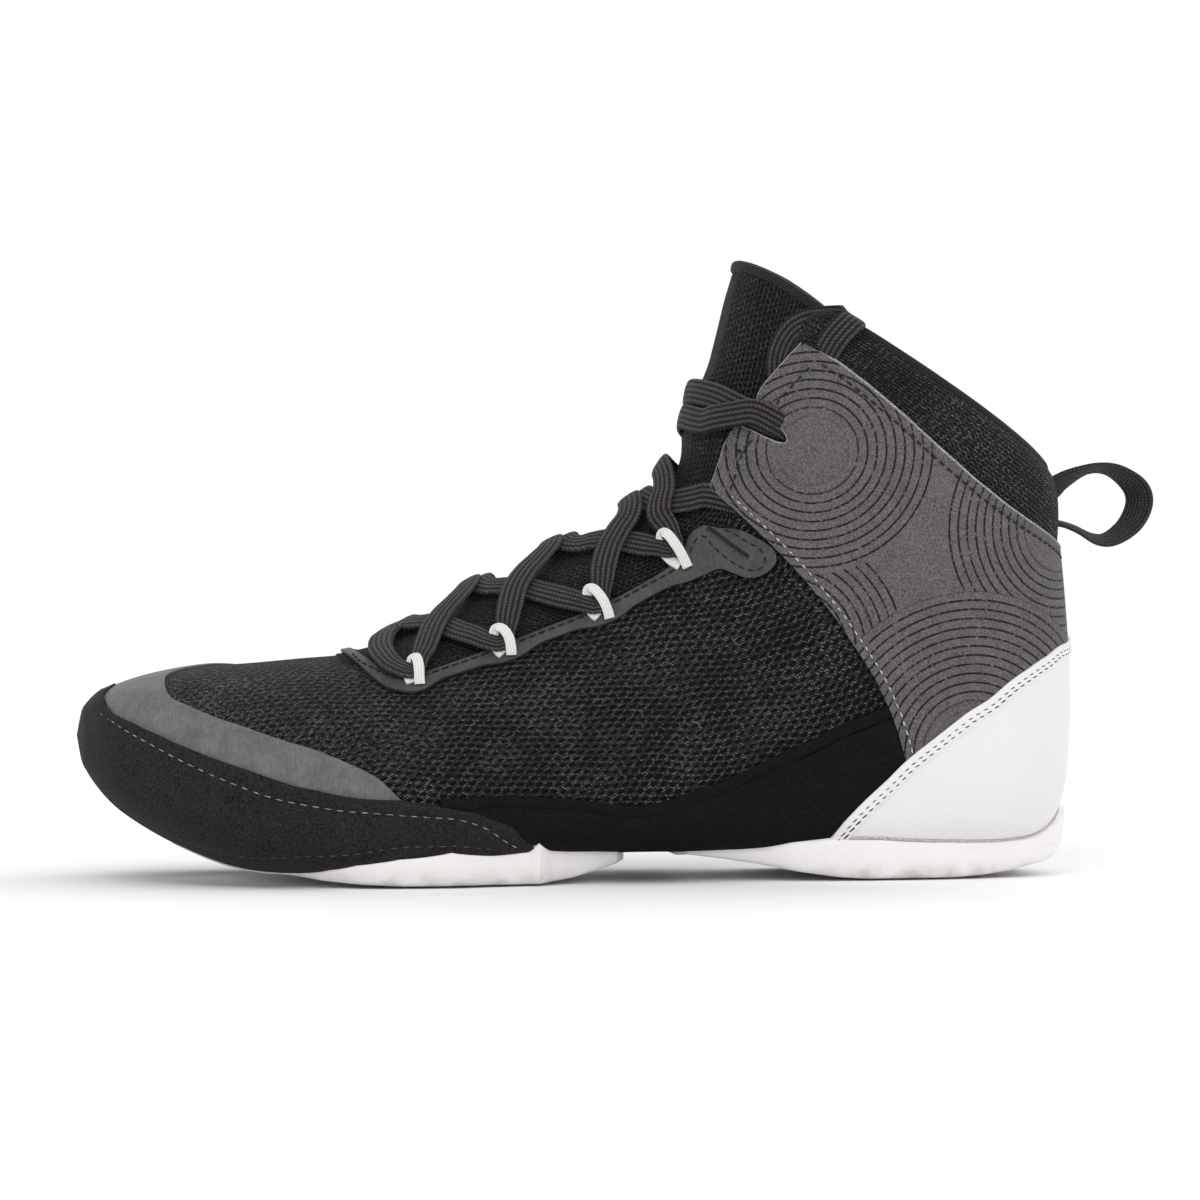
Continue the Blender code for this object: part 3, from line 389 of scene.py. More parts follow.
def rubber(name, look):
    made, tree, shader = newFinish(name, .62, .35)
    place = node(tree, "TexCoord").outputs["Object"]
    high = node(tree, "SeparateXYZ", Vector=place).outputs[2]
    streak = step(tree, grain(tree, .004, 5.0, (.22, .22, 1.6)), .56, .74)
    patch = step(tree, grain(tree, .018, 3.0), .45, .75)
    scuff = maths(tree, "MULTIPLY", streak, patch)
    low = step(tree, high, .006, .0005, 0.0, .55)
    grime = maths(tree, "MULTIPLY", low, step(tree, grain(tree, .007, 4.0), .35, .75))
    dirt = maths(tree, "MAXIMUM", maths(tree, "MULTIPLY", scuff, look["scuff"]), grime)
    colour = blendColour(tree, dirt, look["colour"], look["dirt"])
    height = maths(tree, "ADD", maths(tree, "MULTIPLY", grain(tree, .0012, 3.0), .5), maths(
        tree, "MULTIPLY", scuff, -.6))
    dress(tree, shader, colour, height, look["depth"])
    return made


def woven(name, look):  # flat braid: ribs along its length, slanted picks across each
    made, tree, shader = newFinish(name, .78, .16, sheen=look.get("sheen", .06))
    u, v = pattern(tree)
    rib = ripple(tree, v, look["rib"])
    place = maths(tree, "FRACT", maths(tree, "DIVIDE", v, look["rib"]))
    chevron = maths(tree, "ABSOLUTE", maths(tree, "SUBTRACT", place, .5))
    pick = ripple(tree, maths(tree, "MULTIPLY_ADD", chevron, look["pick"] * look["slant"], u), look["pick"])
    fleck = step(tree, grain(tree, .0006, 3.0), .3, .75, .55, 1.1)
    height = maths(tree, "MULTIPLY_ADD", pick, .45, rib)
    share = maths(tree, "MULTIPLY",
                  maths(tree, "MULTIPLY", maths(tree, "MULTIPLY_ADD", pick, .55, .45), rib), fleck)
    dress(tree, shader, blendColour(tree, share, look["dark"], look["light"]), height, look["depth"])
    return made


def thread(name, colour, shade):
    made, tree, shader = newFinish(name, .7, .2)
    twist = step(tree, grain(tree, .0004, 2.0), .35, .65)
    dress(tree, shader, blendColour(tree, twist, shade, colour), twist, .00005)
    return made


# fine rings on the strap: each disc is (x, z, radius) in metres, the first lies on top
ringPrint = {"discs": ((.098, .036, .046), (.052, .122, .035), (.126, .100, .038), (.044, .066, .034)),
             "pitch": .0026, "line": .17, "ink": (.016, .015, .015), "edge": .0007}


def printedSuede(name, look):
    made, tree, shader = suede(name, (.044, .0405, .040), (.160, .150, .147), .00050, .00014, .10)
    colour = shader.inputs["Base Color"].links[0].from_socket
    split = node(tree, "SeparateXYZ", Vector=node(tree, "TexCoord").outputs["Object"])
    ink, free = None, None
    for x, z, radius in look["discs"]:
        dx = maths(tree, "SUBTRACT", split.outputs[0], x)
        dz = maths(tree, "SUBTRACT", split.outputs[2], z)
        far = maths(tree, "SQRT", maths(tree, "MULTIPLY_ADD", dx, dx, maths(tree, "MULTIPLY", dz, dz)))
        inside = step(tree, far, radius + look["edge"] / 4, radius - look["edge"] / 4)
        wave = ripple(tree, far, look["pitch"])
        ring = step(tree, wave, look["line"], look["line"] * .45)
        fade = step(tree, far, radius * .22, radius * .4)
        ring = maths(tree, "MULTIPLY", maths(tree, "MULTIPLY", ring, fade), inside)
        if ink is None:
            ink, free = ring, maths(tree, "SUBTRACT", 1.0, inside)
        else:
            ink = maths(tree, "MULTIPLY_ADD", ring, free, ink)
            free = maths(tree, "MULTIPLY", free, maths(tree, "SUBTRACT", 1.0, inside))
    worn = step(tree, grain(tree, .0011, 3.0), .30, .48)
    ink = maths(tree, "MULTIPLY", ink, worn)
    feed(tree, shader.inputs["Base Color"], blendColour(tree, ink, colour, look["ink"]))
    return made


finishes = {
    "mesh": knitMesh("upper_mesh", dict(meshLook, toeFine=True)),
    "collar": knitMesh("collar_mesh", dict(meshLook, pitch=2.1, rowPitch=1.5, lean=.1, wander=.3,
                                           holeHeight=.28, holeLength=.40)),
    "tongue": knitMesh("tongue_mesh", dict(meshLook, pitch=1.75, rowPitch=1.35, lean=.1, wander=.3,
                                           ground=(.0070, .0080, .0088), thread=(.095, .104, .110))),
    "lining": knitMesh("lining_mesh", dict(meshLook, pitch=1.5, rowPitch=1.1, depth=.0002,
                                           ground=(.008, .008, .009), thread=(.02, .02, .021))),
    "wrap": suede("toe_suede", (.0042, .0040, .0040), (.0330, .0300, .0290), .00055, .00030, .05)[0],
    "arch": suede("arch_microfibre", (.0022, .0022, .0023), (.0120, .0115, .0117), .0004, .00008, .0)[0],
    "film": film("toe_film", {"pitch": .62, "dark": (.070, .067, .066), "light": (.196, .185, .181),
                              "depth": .00006, "roughness": .5}),
    "eyestay": film("eyestay_film", {"pitch": .42, "dark": (.024, .023, .023), "light": (.085, .080, .079),
                                     "depth": .00005, "roughness": .5}),
    "counter": leather("counter_leather", (.765, .748, .757), (.72, .70, .71), .0013, .00004, .42, .4,
                       coat=.08),
    "strap": printedSuede("strap_suede", ringPrint),
    "rubber": rubber("sole_rubber", {"colour": (.845, .82, .81), "dirt": (.36, .31, .29), "scuff": .40,
                                     "depth": .00022}),
    "lace": woven("lace_weave", {"rib": 1.55, "pick": 1.05, "slant": 1.1, "dark": (.0065, .006, .006),
                                 "light": (.105, .094, .090), "depth": .00042}),
    "tape": woven("loop_tape", {"rib": .8, "pick": .5, "slant": .5, "dark": (.62, .61, .58),
                                "light": (.90, .89, .87), "depth": .00012}),
    "webbing": woven("pull_webbing", {"rib": 1.5, "pick": .95, "slant": .4, "dark": (.006, .006, .006),
                                      "light": (.075, .074, .072), "depth": .0004}),
    "binding": woven("tongue_binding", {"rib": .7, "pick": .6, "slant": .5, "dark": (.007, .007, .007),
                                        "light": (.045, .042, .041), "depth": .0002}),
    "insole": leather("insole_textile", (.030, .030, .031), (.018, .018, .019), .0012, .0002, .9, .1),
    "greyThread": thread("grey_thread", (.34, .34, .36), (.10, .10, .11)),
    "rawSuede": thread("raw_suede", (.40, .385, .38), (.16, .15, .148)),
    "jointShade": thread("sole_joint", (.30, .28, .27), (.62, .60, .59)),
    "dimThread": thread("dim_thread", (.085, .085, .088), (.03, .03, .032)),
    "paleThread": thread("pale_thread", (.62, .60, .58), (.22, .21, .20)),
    "blackThread": thread("black_thread", (.020, .019, .019), (.004, .004, .004)),
}
print("finishes mixed")


def keepPiece(name, bm, finish, replaced=(), crease=None):
    mesh = bpy.data.meshes.new(name)
    bm.to_mesh(mesh)
    bm.free()
    mesh.materials.append(finishes[finish])
    mesh.shade_smooth()
    if crease:
        mesh.set_sharp_from_angle(angle=math.radians(crease))
    made = bpy.data.objects.new(name, mesh)
    bpy.context.scene.collection.objects.link(made)
    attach(made, "root")
    if replaced:
        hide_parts(*replaced)
    return made


def setPattern(bm, places):
    layer = bm.loops.layers.uv.new("UVMap")
    for face in bm.faces:
        for loop in face.loops:
            loop[layer].uv = places[loop.vert.index]


def bevelEdges(made, width, angle):
    bevel = made.modifiers.new("edge", "BEVEL")
    bevel.width, bevel.segments = width, 2
    bevel.limit_method, bevel.angle_limit = "ANGLE", math.radians(angle)


def sheetPiece(name, cells, shape, finish, replaced=(), wall=0.0, edge=0.0, keep=None, lining=None):
    # a grid laid on the form by shape(s, t), which gives section, around, lift and pattern
    bm = bmesh.new()
    bmesh.ops.create_grid(bm, x_segments=cells[0], y_segments=cells[1], size=.5)
    bm.verts.index_update()
    flat = np.array([v.co[:2] for v in bm.verts]) + .5
    u, v, lift, places = shape(flat[:, 0], flat[:, 1])
    setPattern(bm, places)
    out = facing(u, v)
    for vert, point in zip(bm.verts, form(u, v, lift)):
        vert.co = point
    if keep is not None:
        gone = []
        for face in bm.faces:
            i = [vert.index for vert in face.verts]
            if not keep(u[i].mean(), v[i].mean()):
                gone.append(face)
        bmesh.ops.delete(bm, geom=gone, context="FACES")
    bm.normal_update()
    score = sum(face.normal.dot(Vector(out[face.verts[0].index])) for face in list(bm.faces)[::29])
    if score < 0:
        bmesh.ops.reverse_faces(bm, faces=bm.faces[:])
    bmesh.ops.remove_doubles(bm, verts=bm.verts[:], dist=2e-6)
    made = keepPiece(name, bm, finish, replaced)
    if lining:
        made.data.materials.append(finishes[lining])
    if wall:
        shell = made.modifiers.new("wall", "SOLIDIFY")
        shell.thickness, shell.offset = wall, -1
        shell.material_offset = 1 if lining else 0
    if edge:
        bevelEdges(made, edge, 50)


def loftPiece(name, rings, places, finish, replaced=(), crease=None):
    # closed tube through rings of points, each ring in order round it; ends are filled
    rows, columns = rings.shape[:2]
    bm = bmesh.new()
    bmesh.ops.create_grid(bm, x_segments=rows - 1, y_segments=columns, size=.5)
    bm.verts.index_update()
    i = np.array([[round((v.co.x + .5) * (rows - 1)), round((v.co.y + .5) * columns)] for v in bm.verts])
    setPattern(bm, places[i[:, 0], i[:, 1]])
    for vert, (row, column) in zip(bm.verts, i):
        vert.co = rings[row, column % columns]
    bmesh.ops.remove_doubles(bm, verts=bm.verts[:], dist=1e-7)
    bmesh.ops.holes_fill(bm, edges=[e for e in bm.edges if e.is_boundary], sides=0)
    bmesh.ops.recalc_face_normals(bm, faces=bm.faces[:])
    return keepPiece(name, bm, finish, replaced, crease)


def evenly(points, count):  # places in a dense line, evenly spaced along it, as fractional rows
    run = runAlong(points)
    return np.interp(np.linspace(0, run[-1], count), run, np.arange(len(points))), run[-1]


def route(table, lift=0, count=400):  # dense (section, around, lift) line through a table of 2 or 3 columns
    rows = np.asarray(table, float)
    if rows.shape[1] == 2:
        rows = np.concatenate([rows, np.full((len(rows), 1), lift)], axis=1)
    else:
        rows = rows + np.array([0, 0, lift])
    return along(rows, np.linspace(0, len(rows) - 1, count))


def evenRoute(table, count):  # the same line and its points, evenly spaced, and its length
    line = route(table)
    want, length = evenly(form(*line.T), count)
    line = along(line, want)
    return line, form(*line.T), want, length


def strandPiece(name, table, look, finish, replaced=(), count=90):
    # ribbon or cord along a route on the form; a fourth column gives its share of width
    table = np.asarray(table, float)
    line, points, want, length = evenRoute(table[:, :3], count)
    share = table[:, 3:] if table.shape[1] > 3 else np.ones((len(table), 1))
    share = along(share, want / 399 * (len(share) - 1))[:, 0]
    ahead = unit(np.gradient(points, axis=0))
    up = squareTo(ahead, facing(line[:, 0], line[:, 1]))
    sweep(name, points, np.cross(ahead, up), up, share, length, look, finish, replaced)


def sweep(name, points, side, up, share, length, look, finish, replaced=()):
    a = np.arange(look["around"]) * 2 * math.pi / look["around"]
    x = boxy(np.cos(a), look["square"]) * look["width"] / 2
    y = boxy(np.sin(a), look["square"]) * look["thickness"] / 2
    bow = look.get("bow", 0) * (1 - (x / look["width"] * 2) ** 2)
    rings = (points[:, None] + share[:, None, None] * x[None, :, None] * side[:, None]
             + (y + bow)[None, :, None] * up[:, None])
    far = np.linspace(0, length * 1000, len(points))
    across = np.append(x, x[0]) * 1000
    places = np.stack(np.broadcast_arrays(far[:, None], across[None, :]), -1)
    return loftPiece(name, rings, places, finish, replaced)


def stitchPiece(name, lines, look, finish):  # rows of single stitches along routes on the form
    bm = bmesh.new()
    for table in lines:
        line = route(table, look["lift"])
        points = form(*line.T)
        if look.get("inset"):  # metres to the right of the route, seen from outside
            points = points + look["inset"] * unit(np.cross(np.gradient(points, axis=0), facing(*line.T[:2])))
        count = max(2, round(evenly(points, 2)[1] / look["pitch"]))
        want, length = evenly(points, 2 * count + 1)
        middles = along(line, want[1::2])
        spots = along(points, want[1::2])
        aheads = along(points, want[2::2]) - along(points, want[:-1:2])
        for place, spot, ahead in zip(middles, spots, aheads):
            up = Vector(facing(place[0], place[1]))
            ahead = Vector(ahead).normalized()
            side = ahead.cross(up).normalized()
            turn = Matrix((ahead, side, side.cross(ahead))).transposed()
            turn = turn @ Matrix.Rotation(math.radians(look.get("slant", 0)), 3, "Z")
            size = Matrix.Diagonal((look["long"] / 2, look["thick"] / 2, look["thick"] / 2))
            where = Matrix.Translation(Vector(spot)) @ (turn @ size).to_4x4()
            bmesh.ops.create_icosphere(bm, subdivisions=1, radius=1.0, matrix=where)
    keepPiece(name, bm, finish)


def ringMap(rings, row, column):  # pattern place in mm: along a pad, and round it
    run, turn = runAlong(rings[:, column]) * 1000, runAlong(rings[row]) * 1000
    return np.stack(np.broadcast_arrays(run[:, None], np.append(turn, turn[-1])[None, :]), -1)


def mirrored(table):  # the same line on the medial side
    return [(row[0], -row[1], *row[2:]) for row in table]


def overHeel(table):  # line of the lateral side, carried round the back of the heel
    return list(table) + [(row[0], 2 - row[1], *row[2:]) for row in table[-2::-1]]


def overRidge(table, other=None):
    return list(other or mirrored(table))[::-1] + list(table[1:])


def between(first, second, s, t):  # section and around in a band between two edges
    first, second = np.asarray(first, float), np.asarray(second, float)
    a = along(first, s * (len(first) - 1))
    b = along(second, s * (len(second) - 1))
    place = a + t[:, None] * (b - a)
    return place[:, 0], place[:, 1]


# soft troughs and ridges in the mesh: from (section, around) to (section, around), width and height in metres
upperLook = {
    "cells": (210, 150),
    "folds": (((10.6, .20), (9.9, .52), .0050, -.0007), ((11.3, .25), (10.7, .56), .0045, .0006),
              ((9.6, .25), (8.9, .50), .0060, .0006), ((8.2, .30), (7.6, .54), .0060, -.0006),
              ((7.1, .30), (6.5, .50), .0055, .0005), ((11.9, .28), (11.5, .52), .0040, -.0006),
              ((5.0, .06), (4.6, .30), .0045, -.0007), ((4.5, .10), (4.2, .34), .0050, .0005)),
}


def foldLift(u, v):  # every fold is on both sides
    place = lengthwise(u, v)
    place[..., 1] = np.abs(place[..., 1])
    lift = np.zeros(np.shape(u))
    for start, stop, width, height in upperLook["folds"]:
        a, b = lengthwise(*np.array(start)), lengthwise(*np.array(stop))
        share = np.clip(((place - a) @ (b - a)) / ((b - a) @ (b - a)), 0, 1)
        far = np.linalg.norm(place - a - share[..., None] * (b - a), axis=-1) / 1000
        lift += height * np.exp(-(far / width) ** 2) * np.sin(np.pi * np.clip(share, .04, .96)) ** .5
    return lift


def upperShape(s, t):
    u = (len(lastRows) - 2) * s
    a = np.where(u > 5.1, at(throatLateral, u), 0)
    b = np.where(u > 5.1, at(throatMedial, u), 0)
    v = np.where(t < .5, a + (1 - a) * 2 * t, 2 - b - (1 - b) * 2 * (1 - t))
    signed = np.where(v > 1, v - 2, v)
    return u, v, foldLift(u, signed), lengthwise(u, v)


def upperKeep(u, v):  # open underneath where the two outsoles close it
    window = at(soleWindow, u)
    return not ((2.5 <= u < 7.0 or 10.0 <= u < 12.0) and window < v < 2 - window)


sheetPiece("upper_shell", upperLook["cells"], upperShape, "mesh", ["upper"], wall=last["wall"],
           keep=upperKeep, lining="lining")
print("upper made")

collarLook = {
    "cells": (150, 26), "insideDepth": 2.2,
    # from the outside under the strap, over the rim, and down inside: share of the band down, lift
    "profile": ((1.0, .0004), (.80, .0014), (.55, .0023), (.30, .0025), (.12, .0017), (.0, -.0002),
                (-.04, -.0016), (.02, -.0034), (.20, -.0050), (.50, -.0058), (.80, -.0052), (1.0, -.0034)),
    "rim": ((15.6, .192), (16.9, .209), (17.8, .228), (18.4, .252), (18.75, .275), (18.95, .315), (19.0, .37),
            (19.0, .46), (19.0, .58), (19.0, .71), (19.0, .85), (19.0, 1.0)),
    "low": ((15.5, .222), (16.6, .245), (17.2, .275), (17.5, .305), (17.6, .335), (17.65, .37), (17.65, .42),
            (17.6, .49), (17.55, .59), (17.55, .71), (17.6, .85), (17.6, 1.0)),
}


def makeCollar():
    look = collarLook
    rows, columns = look["cells"]
    rim = along(overHeel(look["rim"]), np.linspace(0, 2 * len(look["rim"]) - 2, rows))
    low = along(overHeel(look["low"]), np.linspace(0, 2 * len(look["low"]) - 2, rows))
    profile = along(look["profile"], np.linspace(0, len(look["profile"]) - 1, columns))
    down, lift = profile[:, 0], profile[:, 1]
    deep = np.where(np.arange(columns) > columns * .5, look["insideDepth"], 1.0)
    place = rim[:, None] + (down * deep)[None, :, None] * (low - rim)[:, None]
    ends = smooth(0, .03, np.linspace(0, 1, rows)) * smooth(0, .03, np.linspace(1, 0, rows))
    lifts = -.0012 + (lift[None] + .0012) * (.55 + .45 * ends[:, None])
    rings = form(place[..., 0], place[..., 1], lifts)
    loftPiece("collar_pad", rings, ringMap(rings, rows // 2, columns // 2), "collar")


makeCollar()
strandPiece("collar_rim", overHeel([(*row, -.0008) for row in collarLook["rim"][3:]]),
            {"width": .0030, "thickness": .0026, "square": .8, "around": 12}, "binding", count=160)
print("collar made")

toeFilmLook = {
    "inner": ((2.20, .0), (1.90, .06), (1.70, .12), (1.64, .170), (1.63, .23), (1.72, .290), (2.04, .325),
              (2.44, .355), (2.92, .375), (3.44, .400), (4.08, .425), (4.84, .460), (5.24, .490),
              (5.60, .540)),
    "innerMedial": ((2.20, .0), (2.75, -.07), (3.2, -.15), (3.7, -.24), (4.3, -.33), (4.9, -.41),
                    (5.3, -.47), (5.60, -.540)),
    "outer": ((0.40, .0), (0.43, .12), (0.50, .27), (0.62, .375), (1.0, .415), (1.5, .445), (2.0, .470),
              (3.0, .504), (4.2, .535), (5.1, .548), (5.66, .556)),
}


def toeFilmShape(s, t):
    u, v = between(overRidge(toeFilmLook["outer"]),
                   overRidge(toeFilmLook["inner"], toeFilmLook["innerMedial"]), s, t)
    return u, v, np.full(len(u), .0009) - .0003 * smooth(.96, 1.0, t), lengthwise(u, v)


sheetPiece("toe_film_sheet", (220, 26), toeFilmShape, "film", ["toe_film"], wall=.0008, edge=.0002)

toeWrapLook = {
    "top": ((0.0, .20), (0.45, .235), (0.50, .290), (0.64, .355), (0.85, .383), (1.2, .410), (1.8, .440),
            (2.36, .460), (3.0, .478), (3.68, .503), (4.56, .521), (5.56, .538), (6.1, .562), (6.7, .602),
            (7.15, .650), (7.4, .695), (7.46, .710)),
    "back": 7.42, "lift": .0024, "tuck": .05, "over": 1 / 6, "side": .72, "reach": (.26, .12),
    "seam": ((0.05, .12), (0.12, .20), (0.24, .27), (0.38, .325), (0.52, .370), (0.92, .425), (1.56, .465),
             (2.12, .490), (2.84, .515), (3.5, .535), (4.32, .548), (5.04, .557), (5.64, .572), (6.32, .598),
             (6.75, .632), (7.05, .672), (7.22, .695)),
    "lowSeam": ((0.16, .725), (.4, .77), (0.95, .778), (1.60, .735), (2.30, .700), (3.20, .665), (3.83, .645),
                (4.78, .634), (5.55, .630), (6.3, .648), (6.9, .680)),
}


def toeWrapReach(v):  # the suede reaches back along the ridge
    return toeWrapLook["reach"][0] * np.exp(-(v / toeWrapLook["reach"][1]) ** 2)


def toeWrapLow(u):  # the suede tucks in behind the sole's edge, less where the sole is thin
    tuck = .010 + (toeWrapLook["tuck"] - .010) * smooth(3.0, 4.4, u)
    return np.minimum(at(foreSoleEdge, np.maximum(u, 1.9)) + tuck, .985)


def toeWrapShape(s, t):
    u = toeWrapLook["back"] * (s ** 1.15)
    top = at(toeWrapLook["top"], u)
    low = toeWrapLow(u)
    half = halfOf(t)
    over, edge = toeWrapLook["over"], toeWrapLook["side"]  # column shares down to the film and the sole
    v = np.where(half < over, top * half / over, top + (low - top) * (half - over) / (edge - over))
    v = np.where(half < edge, v, low + (1 - low) * (half - edge) / (1 - edge))
    crown = smooth(over, over + .052, half)
    front = smooth(.9, .0, u)
    u = u + toeWrapReach(v) * smooth(.1, .45, u)
    groove, lowGroove = (np.exp(-((v - at(toeWrapLook[key], u)) / .008) ** 2) for key in ("seam", "lowSeam"))
    lift = toeWrapLook["lift"] - .0005 * (1 - crown) * smooth(.45, .6, u) - .00045 * groove * (1 - front)
    lift = lift - .0004 * lowGroove - .0011 * front
    v = np.where(t < .5, v, 2 - v)
    return u, v, lift, lengthwise(u, v)


def toeWrapKeep(u, v):  # open over the film, and underneath where the sole takes over
    near = 1 - abs(1 - v)
    front = u - toeWrapReach(near) < .455 or near > at(toeWrapLook["top"], u) - .003
    return front and (u < 1.86 or near < toeWrapLow(u) + .002)


sheetPiece("toe_wrap_suede", (170, 96), toeWrapShape, "wrap", ["toe_wrap"], wall=.0014, edge=.0003,
           keep=toeWrapKeep)
dash = {"long": .0024, "thick": .00042, "pitch": .0034}
highLine, lowLine = ([(u, v, .0021 - .0011 * float(smooth(.9, .0, u))) for u, v in toeWrapLook[key]]
                     for key in ("seam", "lowSeam"))
stitchPiece("toe_wrap_stitches", [highLine, mirrored(highLine)], dict(dash, lift=0), "greyThread")
stitchPiece("toe_wrap_low_stitches", [lowLine[2:], mirrored(lowLine[2:])],
            dict(dash, lift=.00005), "dimThread")
print("toe made")

archLook = {
    "top": ((5.9, .566), (6.2, .574), (6.65, .592), (7.1, .606), (8.15, .667), (8.8, .698), (9.5, .679),
            (10.0, .656), (10.5, .625), (11.3, .590), (12.1, .583), (12.5, .580)),
    "edge": ((5.9, .59), (6.7, .615), (7.1, .657), (7.35, .700), (7.46, .708), (7.65, .750), (7.9, .785),
             (8.2, .82), (8.45, .86), (8.62, .93), (9.02, .93), (9.1, .87), (9.5, .84), (9.9, .825),
             (10.2, .815), (10.64, .815), (10.85, .80), (11.15, .78), (11.5, .76), (11.9, .74),
             (12.5, .72)),
    "front": 5.9, "back": 12.5, "side": .72, "lift": .0019,
}


def archShape(s, t):
    edge = archLook["side"]
    u = archLook["front"] + (archLook["back"] - archLook["front"]) * s
    top, low = at(archLook["top"], u), at(archLook["edge"], u)
    half = halfOf(t)
    v = np.where(half < edge, top + (low - top) * half / edge, low + (1 - low) * (half - edge) / (1 - edge))
    lift = archLook["lift"] - .0006 * (1 - smooth(5.9, 7.2, u)) - .0009 * smooth(11.9, 12.3, u)
    lift = lift + .0004 * smooth(.0, .05, half) - .0004
    v = np.where(t < .5, v, 2 - v)
    return u, v, lift, lengthwise(u, v)


def archKeep(u, v):  # open over the two outsoles, closed between them
    return 8.62 < u < 9.02 or abs(1 - v) > 1 - at(archLook["edge"], u) + .004


sheetPiece("arch_wrap_panel", (150, 80), archShape, "arch", ["arch_wrap"],
           wall=.0012, edge=.0002, keep=archKeep)
for side, word in sides:
    line = [(u, side * (v - .010), .0010) for u, v in archLook["top"][1:]]
    strandPiece("arch_piping_" + word, line, {"width": .0036, "thickness": .0022, "square": .9, "around": 12},
                "arch", count=120)
print("arch made")

counterLook = {
    # top section, top around, low section, low around, from the front tip to the back
    "edges": ((10.54, .782, 10.60, .800), (10.76, .750, 10.80, .815), (11.06, .718, 11.05, .828),
              (11.44, .688, 11.40, .843), (11.86, .662, 11.85, .860), (12.35, .648, 12.22, .880),
              (12.90, .645, 12.6, .900), (13.45, .656, 12.9, .917), (14.05, .685, 13.2, .932),
              (14.60, .718, 13.42, .944), (15.15, .762, 13.62, .954), (15.65, .812, 13.76, .966),
              (16.15, .880, 13.80, .980), (16.50, 1.0, 13.78, 1.0)),
    "lift": .0023, "strip": .0040, "stripRise": .0005, "wall": .0014, "seams": (.0019, .0031),
}


counterTop = overHeel([row[:2] for row in counterLook["edges"]])
counterLow = overHeel([row[2:] for row in counterLook["edges"]])


def edgeDistance(points, edge):  # metres from each point to a dense line
    far = np.full(len(points), 1.0)
    for part in np.array_split(edge, 40):
        far = np.minimum(far, np.linalg.norm(points[:, None] - part[None], axis=2).min(axis=1))
    return far


def counterShape(s, t):
    u, v = between(counterLow, counterTop, s, t)
    rim = route(counterTop, 0, 900)
    down = edgeDistance(form(u, v), form(rim[:, 0], rim[:, 1]))
    strip = smooth(counterLook["strip"] + .0003, counterLook["strip"] - .0003, down)
    return u, v, counterLook["lift"] + counterLook["stripRise"] * strip, wrapwise(u, v)


sheetPiece("heel_counter_shell", (240, 64), counterShape, "counter", ["heel_counter"],
           wall=counterLook["wall"], edge=.0003)
print("counter made")

strapLook = {
    # share of the way up, around: the front edge with the notch for the front lace
    "front": ((0.0, .108), (.12, .106), (.25, .108), (.34, .118), (.385, .127), (.405, .136), (.425, .160),
              (.445, .190), (.465, .212), (.49, .228), (.515, .233), (.538, .229), (.553, .214), (.565, .195),
              (.575, .176), (.588, .166), (.61, .164), (.66, .170), (.72, .182), (.80, .200), (.90, .224),
              (1.0, .250)),
    "low": ((.10, 12.38), (.14, 12.46), (.20, 12.54), (.265, 12.60), (.325, 12.62), (.40, 12.56),
            (.46, 12.46), (.515, 12.36), (.58, 12.16), (.64, 11.94), (.662, 11.86), (.675, 12.2),
            (.70, 13.2), (.75, 14.1), (.80, 14.7), (.85, 15.15), (.90, 15.5), (1.0, 15.9)),
    "top": ((.25, 17.88), (.325, 17.96), (.395, 17.90), (.465, 17.80), (.54, 17.68), (.63, 17.58),
            (.71, 17.57), (.775, 17.62), (.845, 17.70), (.90, 17.74), (1.0, 17.78)),
    "lift": .0021, "hem": .0078, "topHem": .0030, "rise": .0006, "wall": .0013, "cells": (300, 130),
}


def strapPlace(s, t):
    front = at(strapLook["front"], t)
    v = front + (1 - front) * halfOf(s)
    low = at(strapLook["low"], v)
    return low + t * (at(strapLook["top"], v) - low), np.where(s < .5, v, 2 - v)


def frontPlace(t):  # a place on the strap's front edge
    u, v = strapPlace(np.float64(0), np.float64(t))
    return float(u), float(v)


def strapShape(s, t):
    u, v = strapPlace(s, t)
    points = form(u, v)
    line = np.linspace(0, 1, 500)
    front = np.concatenate([form(*strapPlace(np.full(500, side), line)) for side in (0.0, 1.0)])
    hem = smooth(strapLook["hem"] + .0003, strapLook["hem"] - .0003, edgeDistance(points, front))
    above = edgeDistance(points, form(*strapPlace(line, np.full(500, 1.0))))
    groove = np.exp(-((above - strapLook["topHem"]) / .0006) ** 2)
    lift = strapLook["lift"] + strapLook["rise"] * hem - .0004 * groove * (1 - hem)
    return u, v, lift, wrapwise(u, v)


sheetPiece("ankle_strap_suede", strapLook["cells"], strapShape, "strap", ["ankle_strap"],
           wall=strapLook["wall"], edge=.0003)
print("strap made")

eyestayLook = {
    "inner": ((12.52, .245), (12.42, .222), (12.22, .192), (11.86, .163), (11.66, .143), (11.45, .137),
              (11.24, .140), (10.95, .160), (10.5, .184), (9.40, .219), (8.60, .235), (7.80, .246),
              (6.40, .250), (5.88, .240), (5.52, .195), (5.27, .145), (5.11, .083), (5.06, .0)),
    "outer": ((12.54, .252), (12.48, .264), (12.28, .272), (11.92, .272), (11.64, .262), (11.46, .240),
              (11.32, .222), (11.04, .211), (10.6, .216), (9.30, .254), (8.50, .268), (7.75, .282),
              (6.40, .284), (5.68, .281), (5.32, .236), (5.08, .172), (4.92, .100), (4.84, .0)),
    "tabs": ((6.15, .014), (7.90, .012), (9.37, .012), (10.90, .010)), "lift": .0017, "wall": .0009,
}


def eyestayEdges():
    inner, outer = list(eyestayLook["inner"]), list(eyestayLook["outer"])
    for (a, b), (c, d) in zip(inner[-2::-1], outer[-2::-1]):
        share = at(throatMedial, max(a, 5.15)) / at(throatLateral, max(a, 5.15))
        inner.append((a, -b * share))
        outer.append((c, -(b * share + d - b)))
    return inner, outer


